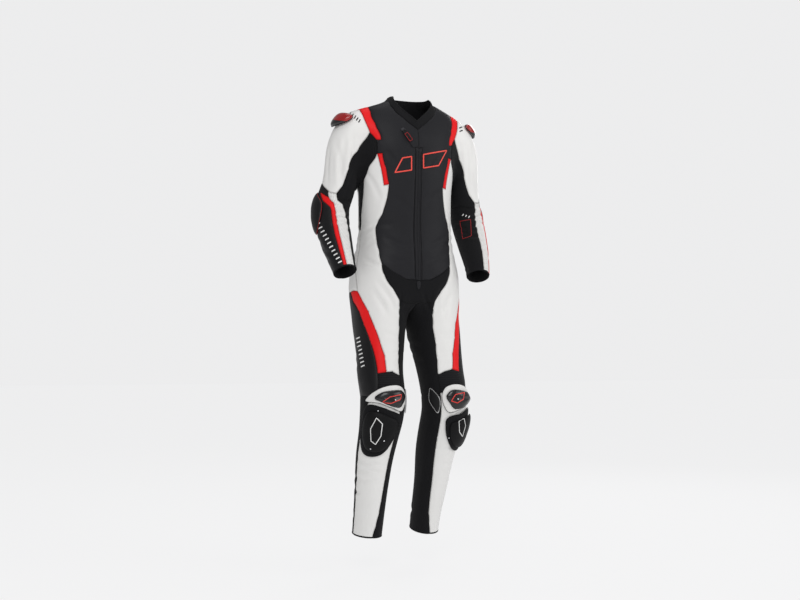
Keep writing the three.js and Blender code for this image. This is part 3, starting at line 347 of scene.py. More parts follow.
CHARCOAL = (0.014, 0.014, 0.0165)
CHARCOAL_DEEP = (0.009, 0.009, 0.0105)
BLACK = (0.007, 0.007, 0.008)
BLACK_DEEP = (0.004, 0.004, 0.005)
WHITE = (0.79, 0.785, 0.77)
# White leather's soiled tone; deepened, it is also the painted shade in the white seams.
WHITE_SOIL_AND_SEAM_SHADE = (0.62, 0.60, 0.57)
RED = (0.80, 0.010, 0.012)
RED_DEEP = (0.55, 0.006, 0.008)
KNIT = (0.004, 0.004, 0.005)
KNIT_LIGHT = (0.012, 0.012, 0.013)
FRONT_HOLES = (0.0046, 0.00075)
SLEEVE_HOLES = (0.0052, 0.00095)
LOOKS = {
    "charcoal": leather("charcoal_leather", CHARCOAL, CHARCOAL_DEEP, 0.52, FRONT_HOLES, gloss=0.15),
    "black": leather("black_leather", BLACK, BLACK_DEEP, 0.42, gloss=0.2),
    "white": leather("white_leather", WHITE, WHITE_SOIL_AND_SEAM_SHADE, 0.45, wear=0.16),
    "white_punched": leather("white_punched", WHITE, WHITE_SOIL_AND_SEAM_SHADE, 0.45, SLEEVE_HOLES, wear=0.16),
    "red": leather("red_leather", RED, RED_DEEP, 0.46, wear=0.25, gloss=0.15),
    "stretch_up": stretch("stretch_up", KNIT, (0.011, 0.011, 0.012), 0.0042, 0.8),
    "stretch_round": stretch(
        "stretch_round", (0.006, 0.006, 0.007), (0.016, 0.016, 0.018), 0.0075, 1.6, across=True
    ),
    "collar": stretch("collar_knit", KNIT, KNIT_LIGHT, 0.003, 0.7),
    "tape": stretch("zip_tape", KNIT, KNIT_LIGHT, 0.002, 0.7),
    "gloss": hard("gloss_shell", (0.006, 0.006, 0.007), 0.18, 0.3, gloss=0.35),
    "cup": two_tone("shoulder_shell", (0.32, 0.008, 0.008), (0.008, 0.008, 0.009), 0.17),
    "rubber": hard("slider_rubber", (0.006, 0.006, 0.0065), 0.46, 0.0, 1500.0, 0.3, gloss=0.1),
    "red_shell": hard("red_relief", (0.62, 0.03, 0.02), 0.3, 0.4),
    "white_mark": hard("white_mark", (0.72, 0.72, 0.71), 0.5, 0.1),
    "red_mark": hard("red_mark", (0.74, 0.06, 0.04), 0.45, 0.1),
    "metal": hard("dark_metal", (0.06, 0.06, 0.065), 0.32, 0.1, 1200.0, 0.1, 0.9),
    "pin": hard("light_metal", (0.62, 0.62, 0.64), 0.3, 0.0, 1200.0, 0.1, 0.9),
    "dark_red": leather("dark_red_trim", (0.30, 0.010, 0.012), (0.14, 0.006, 0.008), 0.45, wear=0.2),
    "grey_trim": leather("grey_trim", (0.42, 0.42, 0.42), (0.3, 0.3, 0.3), 0.5, wear=0.2),
    "inside": stretch("inside_mesh", (0.008, 0.008, 0.009), (0.022, 0.022, 0.024), 0.0028, 1.0),
    "thread_dark": hard("thread_dark", (0.035, 0.035, 0.038), 0.7, 0.0, 3000.0, 0.3),
    "thread_light": hard("thread_light", (0.60, 0.59, 0.57), 0.7, 0.0, 3000.0, 0.3),
    "thread_red": hard("thread_red", (0.45, 0.01, 0.012), 0.7, 0.0, 3000.0, 0.3),
}
print("materials", len(LOOKS))

# %% [markdown]
# ## The cloth's surface
# A maker's panels share one body shape, and so do the frame's. The outer layer of every panel is taken
# from a copy of its solid, all are sewn into one net and smoothed together, so the seams stay true.
# Each face remembers its panel.

# %% Outer layers sewn into one net
HARD_NAMES = ("shoulder_cup", "elbow_guard", "knee_padding", "knee_plate", "slider_base", "knee_slider")
LOOSE_NAMES = HARD_NAMES + ("inner_knee_patch", "zip_garage", "zip_slider", "zip_pull", "front_tip")
PANELS = sorted(name for name in NODES if not name.startswith(LOOSE_NAMES))
SEW_DISTANCE = 0.001
WALL_MATCH = 0.00002
SMOOTH_LEVELS = 3
OPEN_REACH = 0.7
OPEN_MARGIN = 0.1
FACE_TURN = 0.9
FACE_SHAPE = 1.2
STRETCH_NAMES = (
    "side_strip", "sleeve_inner", "forearm_inner", "knee_band", "inner_leg", "calf", "crotch_front",
    "back_waist",
)


def wall_of(name):
    """Wall of a panel, as cut."""
    if name.startswith(STRETCH_NAMES):
        return 0.0022
    return {"collar": 0.0024, "zip": 0.0018}.get(name, 0.0026)


def mesh_copy(name):
    """A copy of one node's mesh with its corners merged."""
    bm = bmesh.new()
    bm.from_mesh(NODES[name].data)
    bmesh.ops.remove_doubles(bm, verts=bm.verts, dist=0.00001)
    bm.normal_update()
    return bm


def all_solids():
    """One tree of every panel's faces, to tell the free side of a layer."""
    corners = []
    faces = []
    for name in PANELS:
        mesh = NODES[name].data
        start = len(corners)
        corners.extend(v.co.copy() for v in mesh.vertices)
        faces.extend([start + i for i in face.vertices] for face in mesh.polygons)
    return BVHTree.FromPolygons(corners, faces)


def is_rim(face, wall):
    """The walls round a panel's rim are the faces with an edge exactly as long as the wall is thick."""
    return any(abs(edge.calc_length() - wall) < WALL_MATCH for edge in face.edges)


def layers_of(bm, wall):
    """The outer and the inner layer of a panel, the larger first."""
    rims = {face for face in bm.faces if is_rim(face, wall)}
    left = set(bm.faces) - rims
    found = []
    while left:
        first = left.pop()
        group = [first]
        for face in group:
            for edge in face.edges:
                for other in edge.link_faces:
                    if other in left:
                        left.discard(other)
                        group.append(other)
        found.append(group)
    return sorted(found, key=lambda group: -sum(face.calc_area() for face in group))


def free_share(group, solids):
    """How many of a layer's faces look out into the open."""
    free = 0
    for face in group:
        start = face.calc_center_median() + face.normal * MM
        hit = solids.ray_cast(start, face.normal, OPEN_REACH)
        free += hit[0] is None
    return free / len(group)


def outer_layer(name, solids):
    bm = mesh_copy(name)
    layers = layers_of(bm, wall_of(name))[:2]
    open_share = [free_share(group, solids) for group in layers]
    outer = layers[1] if open_share[1] > open_share[0] + OPEN_MARGIN else layers[0]
    keep = set(outer)
    bmesh.ops.delete(bm, geom=[face for face in bm.faces if face not in keep], context="FACES")
    return bm


solids = all_solids()
net = bmesh.new()
for index, name in enumerate(PANELS):
    layer = outer_layer(name, solids)
    for face in layer.faces:
        face.material_index = index
    part = bpy.data.meshes.new("layer")
    layer.to_mesh(part)
    layer.free()
    net.from_mesh(part)
    bpy.data.meshes.remove(part)
bmesh.ops.remove_doubles(net, verts=net.verts, dist=SEW_DISTANCE)
bmesh.ops.join_triangles(
    net, faces=net.faces, cmp_materials=True, angle_face_threshold=FACE_TURN, angle_shape_threshold=FACE_SHAPE
)
print("net", len(net.faces), "open edges", sum(edge.is_boundary for edge in net.edges))


def smoothed(bm, levels, name):
    """The net after smoothing, as a mesh."""
    mesh = bpy.data.meshes.new(name)
    bm.to_mesh(mesh)
    holder = bpy.data.objects.new(name, mesh)
    bpy.context.scene.collection.objects.link(holder)
    smooth = holder.modifiers.new("smooth", "SUBSURF")
    smooth.levels = levels
    smooth.render_levels = levels
    shown = holder.evaluated_get(bpy.context.evaluated_depsgraph_get())
    made = bpy.data.meshes.new_from_object(shown)
    bpy.data.objects.remove(holder)
    return made


def mesh_arrays(mesh):
    """Corner places and normals, and the faces with their panels."""
    places = np.empty(len(mesh.vertices) * 3)
    mesh.vertices.foreach_get("co", places)
    normals = np.empty(len(mesh.vertices) * 3)
    mesh.vertices.foreach_get("normal", normals)
    owners = np.empty(len(mesh.polygons), int)
    mesh.polygons.foreach_get("material_index", owners)
    return places.reshape(-1, 3), normals.reshape(-1, 3), owners


for slot_name in PANELS:
    bpy.data.materials.new(slot_name)
base = smoothed(net, SMOOTH_LEVELS, "base")
inside_base = smoothed(net, 1, "inside_base")
net.free()
surface = BVHTree.FromPolygons([v.co for v in base.vertices], [list(f.vertices) for f in base.polygons])
print("smooth surface", len(base.polygons), "inside", len(inside_base.polygons))

# %% [markdown]
# ## Finding places on the suit
# A place is found in two ways: through a pixel of the picture, as the camera sees it, or as a limb, an
# angle round it and a height. Angles run from the front, 0, over the outer side, 90, to the back, 180.

# %% Places on the suit
SLICE = 0.02
FEWEST_POINTS = 6
LIMB_REACH = 0.4
SIGHT_REACH = 6


def middle_line(names):
    """Middle of a limb at each height: height, x, y."""
    points = np.array([v.co[:] for name in names for v in NODES[name].data.vertices])
    rows = []
    for height in np.arange(points[:, 2].min() + SLICE, points[:, 2].max() - SLICE, SLICE):
        near = points[np.abs(points[:, 2] - height) < SLICE]
        if len(near) > FEWEST_POINTS:
            low, high = near.min(0), near.max(0)
            rows.append((height, (low[0] + high[0]) / 2, (low[1] + high[1]) / 2))
    return np.array(rows)


def limb_names(side):
    arm = ["sleeve_inner_", "forearm_inner_", "forearm_stripe_", "forearm_red_", "forearm_outer_"]
    leg = ["thigh_outer_", "knee_band_", "shin_", "calf_", "inner_leg_"]
    return [name + side for name in arm], [name + side for name in leg]


SIDES = {"left": 1, "right": -1}
LINES = {}
for side in SIDES:
    arm_names, leg_names = limb_names(side)
    LINES["arm", side] = middle_line(arm_names)
    LINES["leg", side] = middle_line(leg_names)
TRUNK_NAMES = ["front_left", "front_right", "back_upper", "seat", "side_back_left", "side_back_right"]
LINES["trunk", "left"] = middle_line(TRUNK_NAMES)
LINES["trunk", "right"] = LINES["trunk", "left"]


def middle_at(limb, side, height):
    line = LINES[limb, side]
    x = np.interp(height, line[:, 0], line[:, 1])
    y = np.interp(height, line[:, 0], line[:, 2])
    return Vector((0 if limb == "trunk" else x, y, height))


def spot(limb, side, angle, height):
    """Place and way out on the smooth surface. Height is above the floor, in millimetres."""
    a = math.radians(angle)
    level = height * MM + FLOOR
    start = middle_at(limb, side, level)
    way = Vector((SIDES[side] * math.sin(a), -math.cos(a), 0))
    place, out, _, _ = surface.ray_cast(start, way, LIMB_REACH)
    return (place, out) if place is not None else (None, None)


def seen(u, v, tree=None):
    """Place and way out where the camera sees a surface through a pixel of the picture."""
    ray = AHEAD + RIGHTWARD * ((u - AXIS_PIXEL[0]) / FOCUS_PIXELS)
    ray = ray + Vector((0, 0, (AXIS_PIXEL[1] - v) / FOCUS_PIXELS))
    place, out, _, _ = (tree or surface).ray_cast(EYE, ray.normalized(), SIGHT_REACH)
    return (place, out) if place is not None else (None, None)


print("neck front", spot("trunk", "left", 0, 1440)[0], "belly seen", seen(417, 240)[0])

# %% [markdown]
# ## Creases and seams
# Leather this thick folds in broad, soft creases. Each crease is a line on the surface with its own
# length, depth and width: a valley with a low roll on either side. Panels swell a little between their
# seams, and every seam lies in a narrow valley.

# %% Crease lines
CREASE_STEPS = 14
CREASE_DEPTH = 1.5
CREASE_REACH = 4
ROLL_PLACE = 2.0
TAPER_POWER = 0.7
creases = []


def add_crease(points, depth, width):
    """A crease through points on the surface; width in millimetres, depth in shares of the usual one."""
    line = [point for point in points if point is not None]
    if len(line) > 3:
        creases.append((np.array([p[:] for p in line]), depth * CREASE_DEPTH * MM, width * MM))


def crease_seen(start, end, depth, width, bow=0.0):
    """A crease between two pixels of the picture; bow moves its middle sideways, in pixels."""
    across = (end[1] - start[1], start[0] - end[0])
    length = math.hypot(*across)
    points = []
    for step in range(CREASE_STEPS + 1):
        share = step / CREASE_STEPS
        lift = bow * math.sin(math.pi * share) / length
        u = start[0] + (end[0] - start[0]) * share + across[0] * lift
        v = start[1] + (end[1] - start[1]) * share + across[1] * lift
        points.append(seen(u, v)[0])
    add_crease(points, depth, width)


def crease_at(limb, side, start, end, depth, width, bow=0.0):
    """A crease between two places, each an angle and a height; bow lifts its middle, in millimetres."""
    points = []
    for step in range(CREASE_STEPS + 1):
        share = step / CREASE_STEPS
        angle = start[0] + (end[0] - start[0]) * share
        height = start[1] + (end[1] - start[1]) * share + bow * math.sin(math.pi * share)
        points.append(spot(limb, side, angle, height)[0])
    add_crease(points, depth, width)


def crease_family(limb, side, count, angles, heights, reach, depth, width, slope=0.0):
    """Similar creases spread over a region, each a little different from the next."""
    for index in range(count):
        share = (index + 0.5) / count + random.uniform(-0.2, 0.2) / count
        height = heights[0] + (heights[1] - heights[0]) * share
        middle = random.uniform(*angles)
        half = reach * random.uniform(0.55, 1.15) / 2
        tilt = slope + random.uniform(-5, 5)
        start = (middle - half, height - tilt)
        end = (middle + half, height + tilt)
        own_depth = depth * random.uniform(0.6, 1.2)
        own_width = width * random.uniform(0.8, 1.25)
        crease_at(limb, side, start, end, own_depth, own_width, random.uniform(-4, 4))


# Seen from the front: start pixel, end pixel, depth, width, bow
SEEN_CREASES = [
    ((336, 140), (339, 184), 2.2, 8, 2.5),
    ((346, 136), (343, 190), 2.6, 9, -2.0),
    ((352, 131), (351, 172), 1.8, 7, 1.5),
    ((330, 146), (328, 186), 1.8, 7, -1.0),
    ((352, 176), (343, 198), 2.0, 7, 1.0),
    ((466, 140), (468, 186), 2.2, 8, 1.5),
    ((472, 142), (475, 190), 1.8, 7, -1.0),
    ((363, 259), (382, 264), 2.6, 7, -1.0),
    ((366, 246), (378, 241), 1.8, 6, 1.0),
    ((364, 170), (380, 200), 1.6, 8, 2.0),
    ((362, 232), (374, 226), 1.8, 6, -1.0),
    ((386, 150), (398, 168), 1.2, 8, 1.0),
    ((392, 196), (414, 214), 1.0, 9, 1.5),
    ((440, 150), (428, 170), 1.2, 8, -1.0),
    ((443, 190), (424, 206), 1.0, 9, -1.5),
    ((384, 236), (410, 246), 1.3, 8, -2.0),
    ((446, 236), (424, 247), 1.3, 8, 2.0),
    ((388, 256), (408, 262), 1.2, 7, -1.0),
    ((446, 254), (426, 262), 1.2, 7, 1.0),
    ((376, 280), (396, 312), 2.4, 8, 2.5),
    ((372, 290), (388, 318), 2.0, 8, 2.0),
    ((446, 282), (436, 312), 2.2, 8, -2.5),
    ((452, 292), (444, 320), 1.8, 8, -2.0),
    ((402, 292), (396, 314), 1.6, 6, 1.0),
    ((424, 292), (431, 312), 1.6, 6, -1.0),
    ((384, 334), (400, 338), 1.6, 8, 1.0),
    ((440, 336), (456, 331), 1.6, 8, -1.0),
    ((386, 356), (402, 352), 1.4, 7, 0.5),
    ((438, 352), (452, 356), 1.4, 7, 0.5),
    ((356, 458), (386, 466), 2.0, 7, -1.5),
    ((357, 470), (384, 474), 1.8, 6, 1.5),
    ((360, 478), (380, 481), 1.6, 6, -1.0),
    ((440, 452), (460, 446), 1.8, 7, 1.0),
    ((442, 464), (458, 461), 1.6, 6, -1.0),
    ((352, 392), (356, 424), 1.2, 7, 0.5),
    ((464, 390), (456, 420), 1.2, 7, -0.5),
]
for start, end, depth, width, bow in SEEN_CREASES:
    crease_seen(start, end, depth, width, bow)

# Regions all round: limb, count, angles, heights, reach, depth, width, slope
CREASE_REGIONS = [
    ("arm", 7, (-30, 40), (1110, 1225), 70, 2.0, 6.0, 3),
    ("arm", 6, (240, 320), (1120, 1230), 60, 1.8, 6.0, -3),
    ("arm", 4, (60, 120), (1090, 1010), 60, 1.3, 7.0, 4),
    ("arm", 4, (130, 175), (1370, 1260), 30, 2.0, 8.0, 12),
    ("arm", 4, (250, 300), (1020, 990), 60, 1.2, 6.0, 2),
    ("leg", 6, (150, 215), (520, 620), 80, 2.6, 7.0, 3),
    ("leg", 6, (60, 250), (180, 330), 70, 1.6, 7.0, 4),
    ("leg", 5, (150, 210), (800, 700), 70, 1.6, 8.0, -4),
    ("leg", 4, (80, 130), (740, 680), 50, 1.4, 8.0, 4),
    ("leg", 5, (230, 300), (800, 690), 60, 1.6, 7.0, -6),
    ("trunk", 5, (60, 110), (1060, 1150), 50, 1.8, 8.0, 5),
    ("trunk", 4, (120, 160), (1160, 1090), 44, 1.6, 8.0, -6),
    ("trunk", 5, (130, 172), (1010, 905), 40, 1.8, 8.0, -9),
    ("trunk", 4, (128, 165), (1400, 1250), 34, 1.5, 9.0, 14),
]
for side in SIDES:
    for limb, *region in CREASE_REGIONS:
        crease_family(limb, side, *region)
print("creases", len(creases))

# %% Seams and swelling
PUFF = 0.0007
SEAM_SINK = 0.0008
SEAM_HALF = 0.0022
PUFF_REACH = 0.008


def seam_edges(mesh):
    """Edges of the smooth net whose two faces belong to different panels, with both panels."""
    owner = {}
    found = []
    for face in mesh.polygons:
        for key in face.edge_keys:
            other = owner.pop(key, None)
            if other is None:
                owner[key] = face.material_index
            elif other != face.material_index:
                found.append((key, (min(other, face.material_index), max(other, face.material_index))))
    rims = list(owner)
    return found, rims


seams, rims = seam_edges(base)
seam_points = np.array([(base.vertices[a].co + base.vertices[b].co)[:] for (a, b), _ in seams]) / 2
ends = np.array([base.vertices[key[0]].co[:] for key, _ in seams])
seam_points = np.concatenate([seam_points, ends])
seam_tree = KDTree(len(seam_points))
for index, point in enumerate(seam_points):
    seam_tree.insert(point, index)
seam_tree.balance()
print("seam edges", len(seams), "open rim edges", len(rims))


def seam_distance(places):
    return np.array([seam_tree.find(place)[2] for place in places])


def crease_depth(places, spread=1.0, roll_share=0.38):
    """How far each point sinks, and in the rolls beside a crease rises; spread widens the valleys."""
    sunk = np.zeros(len(places))
    for line, depth, usual_width in creases:
        width = usual_width * spread
        reach = CREASE_REACH * width
        low = line.min(0) - reach
        high = line.max(0) + reach
        near = np.flatnonzero(np.all((places > low) & (places < high), axis=1))
        if not len(near):
            continue
        start = line[:-1]
        step = line[1:] - start
        off = places[near][:, None, :] - start[None]
        share = np.clip((off * step).sum(2) / np.maximum((step * step).sum(1), 1e-12), 0, 1)
        away = np.linalg.norm(off - share[..., None] * step[None], axis=2)
        best = away.argmin(1)
        rows = np.arange(len(near))
        distance = away[rows, best]
        along = (best + share[rows, best]) / len(start)
        taper = np.sin(np.pi * np.clip(along, 0.001, 0.999)) ** TAPER_POWER
        valley = np.exp(-((distance / width) ** 2))
        roll = np.exp(-(((distance - ROLL_PLACE * width) / width) ** 2))
        sunk[near] += depth * taper * (valley - roll_share * roll)
    return sunk


def dressed(places, normals, away):
    """Final places of points: creased, swollen between seams and sunk in them."""
    swell = PUFF * (1 - np.exp(-((away / PUFF_REACH) ** 2)))
    sink = SEAM_SINK * np.exp(-((away / SEAM_HALF) ** 2))
    return places + normals * (swell - sink - crease_depth(places))[:, None]


places, normals, owners = mesh_arrays(base)
seam_away = seam_distance(places)
places = dressed(places, normals, seam_away)
base.vertices.foreach_set("co", places.reshape(-1))
base.update()
inner_places, inner_normals, _ = mesh_arrays(inside_base)
WALL = 0.0024
LINING_SPREAD = 2.0
# The lining is coarser than the cloth, so its valleys are wider, and it lies a wall and a seam deeper.
lining_depth = crease_depth(inner_places, LINING_SPREAD, 0.0) + WALL + SEAM_SINK
inner_places = inner_places - inner_normals * lining_depth[:, None]
inside_base.vertices.foreach_set("co", inner_places.reshape(-1))
inside_base.update()
skin = BVHTree.FromPolygons([v.co for v in base.vertices], [list(f.vertices) for f in base.polygons])
print("dressed", len(places))

# %% [markdown]
# ## Panels
# The net is cut apart again along its seams. Each panel keeps its frame panel's name with _cut, takes its
# own leather or stretch cloth, gets a flat map in metres, and its edge is turned in by the wall.

# %% Panels
LOOK_OF = {
    "front": "charcoal", "back_upper": "charcoal", "seat": "black", "side": "white", "side_back": "white",
    "shoulder_stripe": "red", "chest_stripe": "red", "zip": "charcoal", "side_strip": "stretch_round",
    "back_waist": "stretch_round", "crotch_front": "stretch_up", "collar": "collar",
    "sleeve_outer": "white", "sleeve_inner": "stretch_up", "forearm_inner": "stretch_up",
    "forearm_stripe": "white_punched", "forearm_red": "red", "forearm_outer": "black",
    "thigh_stripe": "red", "thigh_outer": "black", "knee_band": "stretch_round", "shin": "white",
    "inner_leg": "stretch_up", "calf": "stretch_up",
}
FAR_FROM_SEAM = 0.02


def plain_name(name):
    return name.removesuffix("_left").removesuffix("_right")


def limb_of(name):
    if name.startswith(("sleeve", "forearm")):
        return "arm"
    if name.startswith(("thigh", "knee", "shin", "inner_leg", "calf")):
        return "leg"
    return "trunk"


def add_flat_map(mesh, name):
    """Metres round the limb and up it, from the middle of the piece."""
    side = "left" if name.endswith("_left") else "right"
    line = LINES[limb_of(name), side]
    points = np.empty(len(mesh.vertices) * 3)
    mesh.vertices.foreach_get("co", points)
    points = points.reshape(-1, 3)
    x = points[:, 0] - (0 if limb_of(name) == "trunk" else np.interp(points[:, 2], line[:, 0], line[:, 1]))
    y = points[:, 1] - np.interp(points[:, 2], line[:, 0], line[:, 2])
    turn = np.arctan2(x, -y)
    middle = math.atan2(np.sin(turn).mean(), np.cos(turn).mean())
    turn = (turn - middle + np.pi) % (2 * np.pi) - np.pi
    flat = np.stack([turn * np.hypot(x, y).mean(), points[:, 2]], 1)
    corners = np.empty(len(mesh.loops), int)
    mesh.loops.foreach_get("vertex_index", corners)
    layer = mesh.uv_layers.new(name="cut")
    layer.data.foreach_set("uv", flat[corners].reshape(-1))


def add_seam_shade(mesh):
    away = [seam_tree.find(v.co)[2] for v in mesh.vertices]
    layer = mesh.attributes.new("seam", "FLOAT", "POINT")
    layer.data.foreach_set("value", np.minimum(away, FAR_FROM_SEAM))


def finish_piece(made, name, look, body="suit"):
    """Look, body and slot of a piece that stands for a node, or goes with it; the node it stands for is
    hidden.
    """
    made.data.materials.clear()
    made.data.materials.append(LOOKS[look])
    for face in made.data.polygons:
        face.use_smooth = True
        face.material_index = 0
    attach(made, body)
    if name:
        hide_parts(name)
    return made


whole = bpy.data.objects.new("whole", base)
bpy.context.scene.collection.objects.link(whole)
base.materials.clear()
for name in PANELS:
    base.materials.append(bpy.data.materials[name])
base.polygons.foreach_set("material_index", owners.astype(np.int32))
bpy.ops.object.select_all(action="DESELECT")
bpy.context.view_layer.objects.active = whole
whole.select_set(True)
bpy.ops.mesh.separate(type="MATERIAL")
cut_pieces = list(bpy.context.selected_objects)
panel_pieces = {}
for made in cut_pieces:
    name = made.data.materials[0].name
    made.name = name + "_cut"
    made.data.name = made.name
    panel_pieces[name] = made
print("panels", len(panel_pieces))

# What each panel hangs from or is held by
HANGS_FROM = {
    "front": "shoulder_stripe", "chest_stripe": "front", "side": "front", "side_strip": "side",
    "side_back": "side", "sleeve_outer": "shoulder_stripe", "sleeve_inner": "sleeve_outer",
    "forearm_stripe": "sleeve_outer", "forearm_red": "sleeve_outer", "forearm_outer": "sleeve_outer",
    "thigh_stripe": "side", "thigh_outer": "side_back", "knee_band": "thigh_outer", "shin": "knee_band",
    "inner_leg": "side", "calf": "inner_leg", "shoulder_stripe": "front", "forearm_inner": "sleeve_inner",
}
TRUNK_HANGS_FROM = {
    "back_upper": "shoulder_stripe_left", "back_waist": "back_upper", "seat": "back_waist",
    "zip": "front_left", "crotch_front": "front_left", "collar": "back_upper",
}


def cut_size(mesh):
    """Width and length of the rectangle with a piece's area and edge: its size as cut."""
    area = sum(face.area for face in mesh.polygons)
    used = {}
    for face in mesh.polygons:
        for key in face.edge_keys:
            used[key] = used.get(key, 0) + 1
    rim = [key for key, times in used.items() if times == 1]
    edge = sum((mesh.vertices[a].co - mesh.vertices[b].co).length for a, b in rim)
    half = edge / 2
    spare = max(half * half / 4 - area, 0)
    length = max(half / 2 + math.sqrt(spare), math.sqrt(area))
    return area / length, length


def declare_sheet(name, flat):
    plain = plain_name(name)
    side = name.removeprefix(plain)
    support = TRUNK_HANGS_FROM.get(name) or HANGS_FROM[plain] + side
    held = "stretched" if plain in STRETCH_NAMES or name == "zip" else "hung"
    print("cut", name, "%.0f x %.0f mm" % (flat[0] / MM, flat[1] / MM))


for name, made in panel_pieces.items():
    bm = bmesh.new()
    bm.from_mesh(made.data)
    bm.normal_update()
    flat = cut_size(made.data)
    rim = [edge for edge in bm.edges if edge.is_boundary]
    ways = {v: v.normal.copy() for edge in rim for v in edge.verts}
    grown = bmesh.ops.extrude_edge_only(bm, edges=rim)["geom"]
    grown_verts = [item for item in grown if isinstance(item, bmesh.types.BMVert)]
    near = KDTree(len(ways))
    old = list(ways)
    for index, vert in enumerate(old):
        near.insert(vert.co, index)
    near.balance()
    for vert in grown_verts:
        vert.co -= ways[old[near.find(vert.co)[1]]] * WALL
    bm.to_mesh(made.data)
    bm.free()
    add_flat_map(made.data, name)
    add_seam_shade(made.data)
    finish_piece(made, name, LOOK_OF[plain_name(name)])
    declare_sheet(name, flat)
for name in PANELS:
    bpy.data.materials.remove(bpy.data.materials[name])

# %% The inside of the cloth
bm = bmesh.new()
bm.from_mesh(inside_base)
bmesh.ops.reverse_faces(bm, faces=bm.faces)
bm.to_mesh(inside_base)
bm.free()
inside_base.materials.clear()
inside = bpy.data.objects.new("inside_of_cloth", inside_base)
bpy.context.scene.collection.objects.link(inside)
add_flat_map(inside_base, "front_left")
add_seam_shade(inside_base)
finish_piece(inside, None, "inside")
cut_size(inside_base)
print("inside faces", len(inside_base.polygons))

# %% [markdown]
# ## Pads and guards
# Knee padding, sliders, shoulder cups and elbow guards are moulded or filled pieces that lie on the
# cloth. Each is a smoothed copy of its frame solid.

# %% Pads and guards


def smooth_pad(name, look, levels=2):
    bm = mesh_copy(name)
    bmesh.ops.join_triangles(
        bm, faces=bm.faces, angle_face_threshold=FACE_TURN, angle_shape_threshold=FACE_SHAPE
    )
    mesh = smoothed(bm, levels, name + "_smooth")
    bm.free()
    made = bpy.data.objects.new(name + "_made", mesh)
    bpy.context.scene.collection.objects.link(made)
    add_flat_map(mesh, name)
    add_seam_shade(mesh)
    return finish_piece(made, name, look)


CUP_SLOPE = -0.25
CUP_SHARE = 0.42
CUP_SHARPNESS = 5.0


def tint_above(made, slope, share):
    """Attribute "tint": 1 above a sloping level between the piece's lowest and highest, 0 below."""
    heights = np.array([v.co.z for v in made.data.vertices])
    low, high = heights.min(), heights.max()
    front = np.array([v.co.y for v in made.data.vertices])
    lean = (front - front.mean()) * slope
    value = np.clip(0.5 + ((heights + lean - low) / (high - low) - share) * CUP_SHARPNESS, 0, 1)
    layer = made.data.attributes.new("tint", "FLOAT", "POINT")
    layer.data.foreach_set("value", value)


PAD_LOOKS = {
    "shoulder_cup": "cup", "elbow_guard": "black", "knee_padding": "white", "knee_plate": "gloss",
    "slider_base": "stretch_up", "knee_slider": "rubber", "inner_knee_patch": "black",
}
pads = {}
for side in SIDES:
    for plain, look in PAD_LOOKS.items():
        level = 3 if plain == "shoulder_cup" else 2
        pads[f"{plain}_{side}"] = smooth_pad(f"{plain}_{side}", look, level)
    tint_above(pads[f"shoulder_cup_{side}"], CUP_SLOPE, CUP_SHARE)
for name in ("zip_garage", "front_tip"):
    pads[name] = smooth_pad(name, "charcoal")
for name, look in (("zip_slider", "metal"), ("zip_pull", "black")):
    NODES[name].data.materials.clear()
    NODES[name].data.materials.append(LOOKS[look])
print("pads", len(pads))

# %% [markdown]
# ## Lines on the cloth
# Stitches, bindings, pipings and marks all follow a line on the finished surface. A line is cut into
# even steps, each step is laid on the cloth, and a small form is set there or drawn along it.

# %% Lines on the cloth


def tree_of(made):
    mesh = made.data
    return BVHTree.FromPolygons([v.co for v in mesh.vertices], [list(f.vertices) for f in mesh.polygons])


def chains(edges):
    """Edges joined into lines of corner numbers. A closed line ends where it starts."""
    links = {}
    for a, b in edges:
        links.setdefault(a, []).append(b)
        links.setdefault(b, []).append(a)
    left = {tuple(sorted(edge)) for edge in edges}
    lines = []
    for start in sorted(links, key=lambda corner: len(links[corner]) == 2):
        for first in links[start]:
            if tuple(sorted((start, first))) not in left:
                continue
            left.discard(tuple(sorted((start, first))))
            line = [start, first]
            while len(links[line[-1]]) == 2:
                after = [v for v in links[line[-1]] if tuple(sorted((line[-1], v))) in left]
                if not after:
                    break
                left.discard(tuple(sorted((line[-1], after[0]))))
                line.append(after[0])
            lines.append(line)
    return lines


def even_steps(line, spacing):
    """Points at even steps along a line."""
    line = np.asarray(line, float)
    run = np.concatenate([[0], np.cumsum(np.linalg.norm(np.diff(line, axis=0), axis=1))])
    at = np.linspace(0, run[-1], max(2, int(round(run[-1] / spacing)) + 1))
    return np.stack([np.interp(at, run, line[:, axis]) for axis in range(3)], 1)


def softened(line, times=4):
    """The line with its small steps smoothed out; its ends stay."""
    line = np.asarray(line, float).copy()
    for _ in range(times):
        line[1:-1] = (line[:-2] + 2 * line[1:-1] + line[2:]) / 4
    return line


def landed(points, tree=None):
    """Nearest places on a surface, with the way out and the face."""
    found = [(tree or skin).find_nearest(Vector(point)) for point in points]
    on, outs, faces, _ = zip(*found)
    return np.array([p[:] for p in on]), np.array([way[:] for way in outs]), faces


def unit(rows):
    return rows / np.maximum(np.linalg.norm(rows, axis=1, keepdims=True), 1e-12)


def new_piece(name, corners, faces, look, body="suit"):
    """A mesh piece from corners and faces, facing outward. Its look gives its slot."""
    mesh = bpy.data.meshes.new(name)
    mesh.from_pydata([tuple(c) for c in corners], [], [tuple(int(i) for i in f) for f in faces])
    bm = bmesh.new()
    bm.from_mesh(mesh)
    bmesh.ops.recalc_face_normals(bm, faces=bm.faces)
    bm.to_mesh(mesh)
    bm.free()
    made = bpy.data.objects.new(name, mesh)
    bpy.context.scene.collection.objects.link(made)
    add_flat_map(mesh, name)
    layer = mesh.attributes.new("seam", "FLOAT", "POINT")
    layer.data.foreach_set("value", np.full(len(mesh.vertices), FAR_FROM_SEAM))
    finish_piece(made, None, look, body)
    return made


